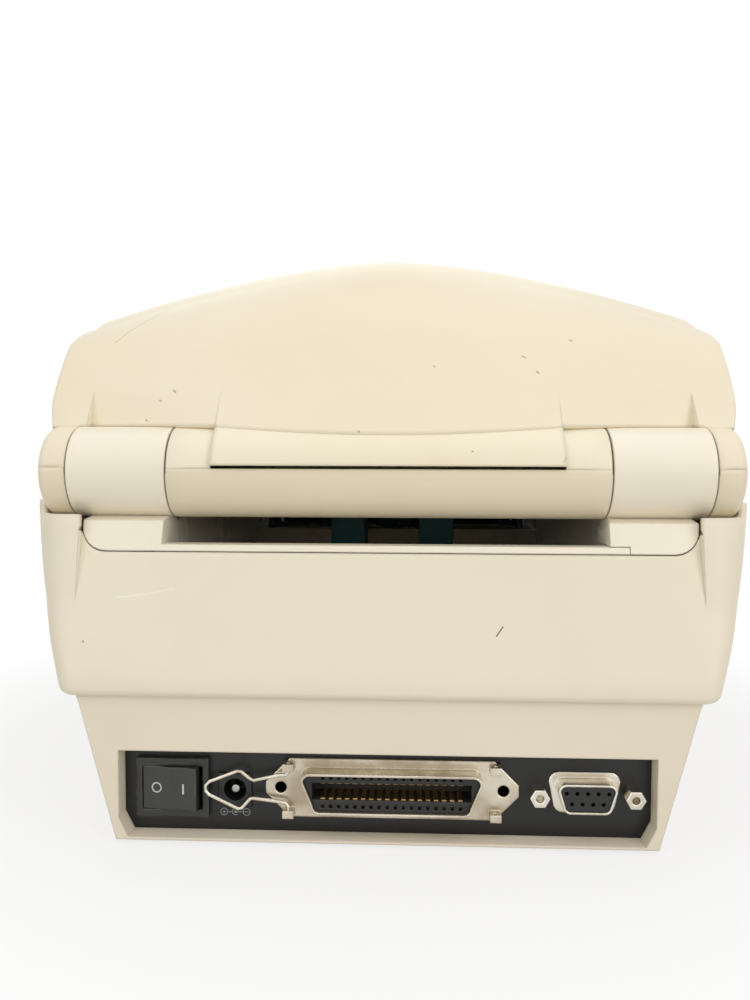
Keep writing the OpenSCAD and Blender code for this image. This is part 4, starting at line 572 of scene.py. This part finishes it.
# Rounded end and straight part of the barrel beside the flap, then the part that lies under the flap
roller, barrelEnd = lid["barrelRadius"], lid["barrelHalf"]
softEdge = np.array([[0, -0.6], [0.15, -0.2], [0.45, 0]])  # steps inwards from a corner, as [x, radius]
barrelEnds = np.concatenate([[barrelEnd, roller] + softEdge * [-1, 1],
                             [[54, roller], [lid["flapHalf"] + 0.2, roller]]])
underFlap = lid["flapHalf"] + 0.15
barrelMiddle = [[-underFlap, roller], [-30, roller], [0, roller], [30, roller], [underFlap, roller]]
barrelProfile = np.concatenate([barrelEnds * [-1, 1], barrelMiddle, barrelEnds[::-1]])
barrelLow = np.where(np.abs(barrelProfile[:, 0]) < underFlap + 0.02, 14.0, lid["splitAt"] + 0.25)
gridPiece("lidBarrel", ringSurface(barrelProfile, barrelLow, 179.3, 60), "lid", finish["flapPlastic"],
          40, 2.4, flip=True)
# The frame's lower half of the barrel, a hair outside the frame, meets the upper half above the hinge's axis
gridPiece("frameBarrel", ringSurface(barrelProfile + [0, 0.03], -176.0, lid["splitAt"], 60), "lid",
          finish["framePlastic"], 40, 0.8, flip=True)

# Cap: rounded towards the knuckle, straight, a 3 mm edge, then the flat end down to the hinge axis
capTurn = np.radians(np.linspace(0, 90, 9))
capFrom, capEnd, capRound = lid["capFrom"], lid["capEnd"], 3.0
capEdge = np.stack([capEnd - capRound + capRound * np.sin(capTurn),
                    roller - capRound + capRound * np.cos(capTurn)], -1)
capProfile = np.concatenate([[capFrom, roller] + softEdge, [[91, roller]], capEdge,
                             [[capEnd, 5], [capEnd, 0.4]]])
for label, sign in (("Left", 1), ("Right", -1)):
    upper = ringSurface(capProfile * [sign, 1], lid["capSplitAt"] + 0.2, 179.3, 40)
    gridPiece("lidCap" + label, upper, "lid", finish["lidPlastic"], 40, 2.0, flip=sign > 0)
    # Its end stands a hair outside the frame's own end face, because faces in one plane render black
    lower = ringSurface(capProfile * [sign, 1] + [sign * 0.05, 0.03], -176.0, lid["capSplitAt"], 40)
    gridPiece("frameCap" + label, lower, "lid", finish["framePlastic"], 40, 0.8, flip=sign > 0)
print("lid made")

# Upper body: one skin round the whole perimeter, from the rounded lower edge to the joint
body = {"skirtZ": 40.6, "edge": 2.0, "leanFrom": 44.1, "lowHalf": 89.6, "wingZ": 65.0, "wingY": 99.0,
        "partZ": 92.0, "rearY": 110.5, "lean": 18.0, "frontY": -107.0, "frontCorner": 16.0,
        "recessHalf": 84.2, "openHalf": 84.45, "openBottom": 78.05, "openCorner": 7.25, "cradle": 13.5,
        "ledgeZ": 88.3, "earRise": 3.4, "mouthHalf": 58.0, "mouthZ": 76.0, "slotZ": 70.0,
        "slotY": (-37.0, -62.0), "wall": 2.0, "bulge": 0.9, "bulgeFrom": 50.0, "tuck": 1.5,
        "tuckFrom": 58.0, "tuckOver": 14.0, "rearCorner": (6.0, 14.0), "earTurn": (12.0, 34.0),
        "earFrom": 74.0}
fullZ = body["skirtZ"] + body["edge"]


def ramp(value, a, atA, b, atB):
    # The straight line that is atA at a and atB at b
    return atA + (atB - atA) * (value - a) / (b - a)


def edgePull(z):
    # How far the rounded lower edge lies inside the wall: edge - sqrt(edge^2 - depth^2)
    return body["edge"] - np.sqrt(np.maximum(0, body["edge"] ** 2 - np.clip(fullZ - z, 0, body["edge"]) ** 2))


def leanY(z):
    # The recessed rear face leans forwards above leanFrom: rear - height over it * tan(lean)
    return body["rearY"] - (z - body["leanFrom"]) * np.tan(np.radians(body["lean"]))


def bodyLevel(z):
    # Half width, recessed rear face, wing face, rear corner radius and front face at height z; the sides
    # run straight from lowHalf to the lid's width, plus half a sine wave, less a square fall near the edge
    pull = edgePull(z)
    rise = np.clip((z - body["bulgeFrom"]) / (body["partZ"] - body["bulgeFrom"]), 0, 1)
    bulge = body["bulge"] * np.sin(np.pi * rise)
    tuck = body["tuck"] * np.clip((body["tuckFrom"] - z) / body["tuckOver"], 0, 1) ** 2
    half = ramp(z, fullZ, body["lowHalf"], body["partZ"], lid["halfWidth"]) - pull + bulge - tuck
    recess = np.minimum(body["rearY"], leanY(z)) - pull
    upper = ramp(z, body["wingZ"], leanY(body["wingZ"]), body["partZ"], body["wingY"])
    wing = np.where(z <= body["wingZ"], recess, upper)
    low, high = body["rearCorner"]
    corner = ramp(np.maximum(z, fullZ), fullZ, low, body["partZ"], high) - pull
    return half, recess, wing, corner, body["frontY"] + pull


def openingTop(x):
    # Lower edge of the rear opening: straight, then an arc up at its corner
    flat = body["openHalf"] - body["openCorner"]
    over = np.clip(x - flat, 0, body["openCorner"])
    return body["openBottom"] + body["openCorner"] - np.sqrt(body["openCorner"] ** 2 - over ** 2)


def bodyColumns():
    # Kind of place, position along it and top height, on +X from the rear middle to the front middle
    rearX = [0, 12, 24, 36, 48, 58, 66, 72, 75, 77.2, 78.6, 79.8, 81, 82, 82.8, 83.4, 83.9,
             body["recessHalf"]]
    rear = [("rear", x, openingTop(x)) for x in rearX]
    ledge, mouth = body["ledgeZ"], body["mouthZ"]
    wing = [("wing", 0.0, 83.9), ("wing", 0.02, 85.3), ("wing", 0.03, ledge), ("wing", 0.5, ledge)]
    corner = [("corner", a, None) for a in np.linspace(90, 0, 15)]
    sideY = np.concatenate([np.linspace(82, 74, 9), [60, 45, 30, 20, 5, -10, -25]])
    side = [("side", y, None) for y in sideY]
    (near, far), slotZ, hair = body["slotY"], body["slotZ"], 0.02
    slot = [("side", near + hair, None), ("side", near - hair, slotZ), ("side", (near + far) / 2, slotZ),
            ("side", far + hair, slotZ), ("side", far - hair, None), ("side", -76, None)]
    turn = [("turn", a, None) for a in np.linspace(0, -90, 15)]
    mouthEdge = body["mouthHalf"]
    front = [("front", 80, None), ("front", 70, None), ("front", mouthEdge + hair, None),
             ("front", mouthEdge - hair, mouth), ("front", 40, mouth), ("front", 20, mouth),
             ("front", 0, mouth)]
    return rear + wing + corner + side + slot + turn + front


def bodyPoint(kind, where, z):
    # X and Y of one column at heights z; where is a length on the rear, side and front, a share on the
    # wing and an angle in a corner, whose X and Y are its centre plus radius * (cos, sin)
    half, recess, wing, corner, front = bodyLevel(z)
    inner = half - corner
    if kind == "rear":
        return where * np.minimum(1, (inner - 0.6) / body["recessHalf"]), recess
    if kind == "wing":
        start = np.minimum(body["recessHalf"] + 0.02, inner - 0.55)
        return start + (inner - start) * where, wing
    a = np.radians(where)
    if kind == "corner":
        return inner + corner * np.cos(a), wing - corner + corner * np.sin(a)
    if kind == "side":
        return half, np.minimum(where + 0 * z, wing - corner - 0.05)
    if kind == "turn":
        r = body["frontCorner"]
        return half - r + r * np.cos(a), front + r + r * np.sin(a)
    return np.minimum(where + 0 * z, half - body["frontCorner"] - 0.05), front


def bodySurface():
    # Columns from the rounded lower edge up to their tops, round one half and mirrored for the other
    turn = np.radians(np.linspace(0, 90, 8))
    low = fullZ - body["edge"] * np.cos(turn)
    columns = []
    for kind, where, top in bodyColumns():
        if top is None:
            y = float(bodyPoint(kind, where, np.array(body["partZ"]))[1])
            top = float(jointLine(np.array(y)))
            away = abs(y - lid["hingeY"])
            if away < body["cradle"] - 0.01:
                top = min(top, lid["hingeZ"] - np.sqrt(body["cradle"] ** 2 - away ** 2))
            if y > lid["hingeY"]:
                top = min(top, body["ledgeZ"])
            # The outer wall stands a little higher round the end of the lid's cap
            if kind == "corner" and where < 45:
                top = body["ledgeZ"] + body["earRise"] * (1 - smoothStep(where, *body["earTurn"]))
            if kind == "side" and y > body["earFrom"]:
                top = max(top, body["ledgeZ"] + body["earRise"])
        z = np.concatenate([low, np.linspace(fullZ, body["wingZ"], 8)[1:],
                            np.linspace(body["wingZ"], top, 12)[1:]])
        x, y = bodyPoint(kind, where, z)
        columns.append(np.stack([x + 0 * z, y + 0 * z, z], -1))
    half = np.stack(columns)
    mirrored = half[-2:0:-1] * [-1, 1, 1]
    return np.concatenate([half, mirrored])


bodySkin = gridPiece("bodySkin", bodySurface().transpose(1, 0, 2), "base", finish["bodyPlastic"], 35,
                     body["wall"], closed=True)
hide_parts("body_shell")


cradleLedge = {"atZ": 87.0, "fromY": 79.5, "endIn": 1.6, "drop": 0.4, "cornerIn": 1.2, "underCap": 0.25}


def ledgeSurface(sign):
    # Top of the wing under the lid's end cap: the lower of a level and the cradle's arc, which runs at
    # hinge height - sqrt(cradle^2 - distance^2), from the cap's inner end out to the rounded corner
    half, recess, wing, corner, front = bodyLevel(np.array(cradleLedge["atZ"]))
    y = np.linspace(cradleLedge["fromY"], float(wing) - cradleLedge["endIn"], 40)[:, None]
    arc = lid["hingeZ"] - np.sqrt(np.maximum(body["cradle"] ** 2 - (y - lid["hingeY"]) ** 2, 0.01))
    z = np.minimum(arc, body["ledgeZ"] - cradleLedge["drop"])
    radius = corner - cradleLedge["cornerIn"]
    outer = half - corner + np.sqrt(radius ** 2 - np.clip(y - wing + corner, 0, radius - 0.4) ** 2)
    inner = lid["capFrom"] - cradleLedge["underCap"]
    x = inner + (outer - inner) * np.linspace(0, 1, 12)[None, :]
    return np.stack(np.broadcast_arrays(sign * x, y, z), -1)


for label, sign in (("Left", 1), ("Right", -1)):
    gridPiece("cradleLedge" + label, ledgeSurface(sign), "base", finish["bodyPlastic"], 40, 1.0,
              flip=sign > 0)
print("body made")

# Small marks: dark or light shapes a hair above the faces they sit on


def ringShape(rOut, rIn, steps=40, a0=0, a1=360):
    # Flat ring between two radii, from a0 to a1 degrees
    a = np.radians(np.linspace(a0, a1, steps + 1))
    circle = np.stack([np.cos(a), np.sin(a)], -1)
    points = np.concatenate([circle * rOut, circle * rIn])
    n = steps + 1
    return points, [(i, i + 1, n + i + 1, n + i) for i in range(steps)]


def barShape(x0, z0, x1, z1):
    return np.array([[x0, z0], [x1, z0], [x1, z1], [x0, z1]]), [(0, 1, 2, 3)]


def joinShapes(shapes):
    # Several flat shapes as one, with the face numbers of each moved on
    points, faces, start = [], [], 0
    for p, f in shapes:
        points.append(p)
        faces += [tuple(i + start for i in q) for q in f]
        start += len(p)
    return np.concatenate(points), faces


def markPiece(name, shape, origin, across, up, riding, colour, lift=0.04):
    # Flat shape [across, up] laid at origin, lifted along the normal
    points, faces = shape
    across, up, origin = (np.asarray(v, float) for v in (across, up, origin))
    normal = np.cross(across, up)
    place = origin + points[:, :1] * across + points[:, 1:] * up + normal * lift
    return meshPiece(name, place, faces, riding, colour, 30)


markWhite = makeFinish("markWhite", (214, 212, 204), rough=0.6, specks=0)
markGrey = makeFinish("markGrey", (150, 156, 158), rough=0.5, specks=0)

# The rocker's two hollow faces meet at its middle; its tilt puts the O end in and the I end out
rocker = {"x": 57.9, "z": 14.1, "pivotY": 100.6, "tilt": -8.0, "faceAt": 3.8, "hollow": 15.0, "faceY": 18.9}


def rockerPoints(shape, centre, lift=0.06):
    # Flat shape bent onto the hollow face about its centre, lifted towards the face's own middle
    points, faces = shape
    along = centre - points[:, 0]
    off = np.abs(along) - rocker["faceAt"]
    out = rocker["faceY"] - np.sqrt(rocker["hollow"] ** 2 - off ** 2) + lift
    t = np.radians(rocker["tilt"])
    x = np.cos(t) * along - np.sin(t) * out + rocker["x"]
    y = np.sin(t) * along + np.cos(t) * out + rocker["pivotY"]
    return np.stack([x, y, points[:, 1] + rocker["z"]], -1), faces


for label, centre, shape in (("markOff", rocker["faceAt"], ringShape(1.45, 1.1)),
                             ("markOn", -rocker["faceAt"], barShape(-0.25, -1.4, 0.25, 1.4))):
    places, faces = rockerPoints(shape, centre)
    meshPiece(label, places, faces, "rocker", markWhite)

# Polarity signs under the jack: minus in a ring, a centre-positive sign, plus in a ring
polarity = {"place": (41.0, 102.2, 7.0), "apart": 3.1, "ring": (1.05, 0.87), "bar": 0.55, "half": 0.09}
line, reach = polarity["half"], polarity["bar"]
ring, minus = ringShape(*polarity["ring"]), barShape(-reach, -line, reach, line)
plus = [ring, minus, barShape(-line, -reach, line, reach)]
centre = [ringShape(0.95, 0.77, 30, 50, 310), ringShape(0.34, 0.0), barShape(-2.05, -line, -0.95, line),
          barShape(0.3, -line, 2.05, line)]
signGroups = ((polarity["apart"], [ring, minus]), (-polarity["apart"], plus), (0, centre))
signs = joinShapes([(points + [across, 0], faces) for across, parts in signGroups for points, faces in parts])
markPiece("polaritySigns", signs, polarity["place"], (-1, 0, 0), (0, 0, 1), "base", markGrey)
print("marks made")

# Lights, floor and background
stage = {"size": 3.0, "colour": (222, 221, 218), "rough": 0.6, "fill": 0.4, "fade": (0.12, 0.23),
         "nearWhite": 0.78, "specular": 0.1}
lamps = {
    "skyPanel": dict(place=(0.0, 0.25, 1.15), aim=(0, 0.02, 0.08), size=1.3, power=5.2,
                     colour=(1, 0.985, 0.955)),
    "rearLeftPanel": dict(place=(0.85, 1.0, 0.55), aim=(0, 0.05, 0.08), size=0.7, power=2.8,
                          colour=(1, 0.99, 0.97), tall=0.9),
    "rearRightPanel": dict(place=(-0.85, 0.95, 0.6), aim=(0, 0.05, 0.08), size=0.7, power=4.5,
                           colour=(1, 0.985, 0.96), tall=0.9),
    "frontPanel": dict(place=(0.1, -1.1, 0.8), aim=(0, -0.02, 0.08), size=1.0, power=2.0),
}


def makeLight(name, place, aim, size, power, colour=(1, 1, 1), tall=None):
    # An area lamp turned towards aim, square unless it has a height of its own
    data = bpy.data.lights.new(name, "AREA")
    data.energy, data.size, data.color = power, size, colour
    if tall:
        data.shape, data.size_y = "RECTANGLE", tall
    light = bpy.data.objects.new(name, data)
    bpy.context.scene.collection.objects.link(light)
    light.location = place
    away = np.asarray(place, float) - np.asarray(aim, float)
    light.rotation_euler = Vector(away.tolist()).to_track_quat("Z", "Y").to_euler()
    light.visible_camera = False


def seenDirectly(tree):
    # 1 for rays from the camera, in mirrors and through glass
    path = tree.nodes.new("ShaderNodeLightPath")
    first = mathNode(tree, "MAXIMUM", path.outputs["Is Camera Ray"], path.outputs["Is Glossy Ray"])
    return mathNode(tree, "MAXIMUM", first, path.outputs["Is Transmission Ray"])


def mixShader(tree, share, first, second, sink):
    mix = tree.nodes.new("ShaderNodeMixShader")
    tree.links.new(share, mix.inputs[0])
    tree.links.new(first, mix.inputs[1])
    tree.links.new(second, mix.inputs[2])
    tree.links.new(mix.outputs[0], sink)


world = bpy.data.worlds.new("studioWorld")
bpy.context.scene.world = world
world.use_nodes = True
tree = world.node_tree
tree.nodes.clear()
shades = []
for colour, strength in (((1.0, 0.985, 0.96, 1), stage["fill"]), ((1, 1, 1, 1), 1.0)):
    shade = tree.nodes.new("ShaderNodeBackground")
    shade.inputs["Color"].default_value = colour
    shade.inputs["Strength"].default_value = strength
    shades.append(shade.outputs[0])
mixShader(tree, seenDirectly(tree), *shades, tree.nodes.new("ShaderNodeOutputWorld").inputs[0])

floorMesh = bpy.data.meshes.new("floorPlane")
r = stage["size"]
floorMesh.from_pydata([(-r, -r, 0), (r, -r, 0), (r, r, 0), (-r, r, 0)], [], [(0, 1, 2, 3)])
floor = bpy.data.objects.new("floorPlane", floorMesh)
bpy.context.scene.collection.objects.link(floor)
floorFinish = bpy.data.materials.new("floorPaper")
floorFinish.use_nodes = True
tree = floorFinish.node_tree
shader = tree.nodes["Principled BSDF"]
shader.inputs["Base Color"].default_value = toLinear(stage["colour"])
shader.inputs["Roughness"].default_value = stage["rough"]
shader.inputs["Specular IOR Level"].default_value = stage["specular"]
white = tree.nodes.new("ShaderNodeEmission")
distance = tree.nodes.new("ShaderNodeVectorMath")  # white paper far from the object, shaded paper near it
distance.operation = "LENGTH"
tree.links.new(tree.nodes.new("ShaderNodeTexCoord").outputs["Object"], distance.inputs[0])
fade = rangeNode(tree, distance.outputs["Value"], stage["fade"][0], stage["fade"][1], stage["nearWhite"], 1.0)
share = mathNode(tree, "MULTIPLY", fade, seenDirectly(tree))
mixShader(tree, share, shader.outputs[0], white.outputs[0], tree.nodes["Material Output"].inputs["Surface"])
floorMesh.materials.append(floorFinish)

for name, lamp in lamps.items():
    makeLight(name, **lamp)
print("stage made")
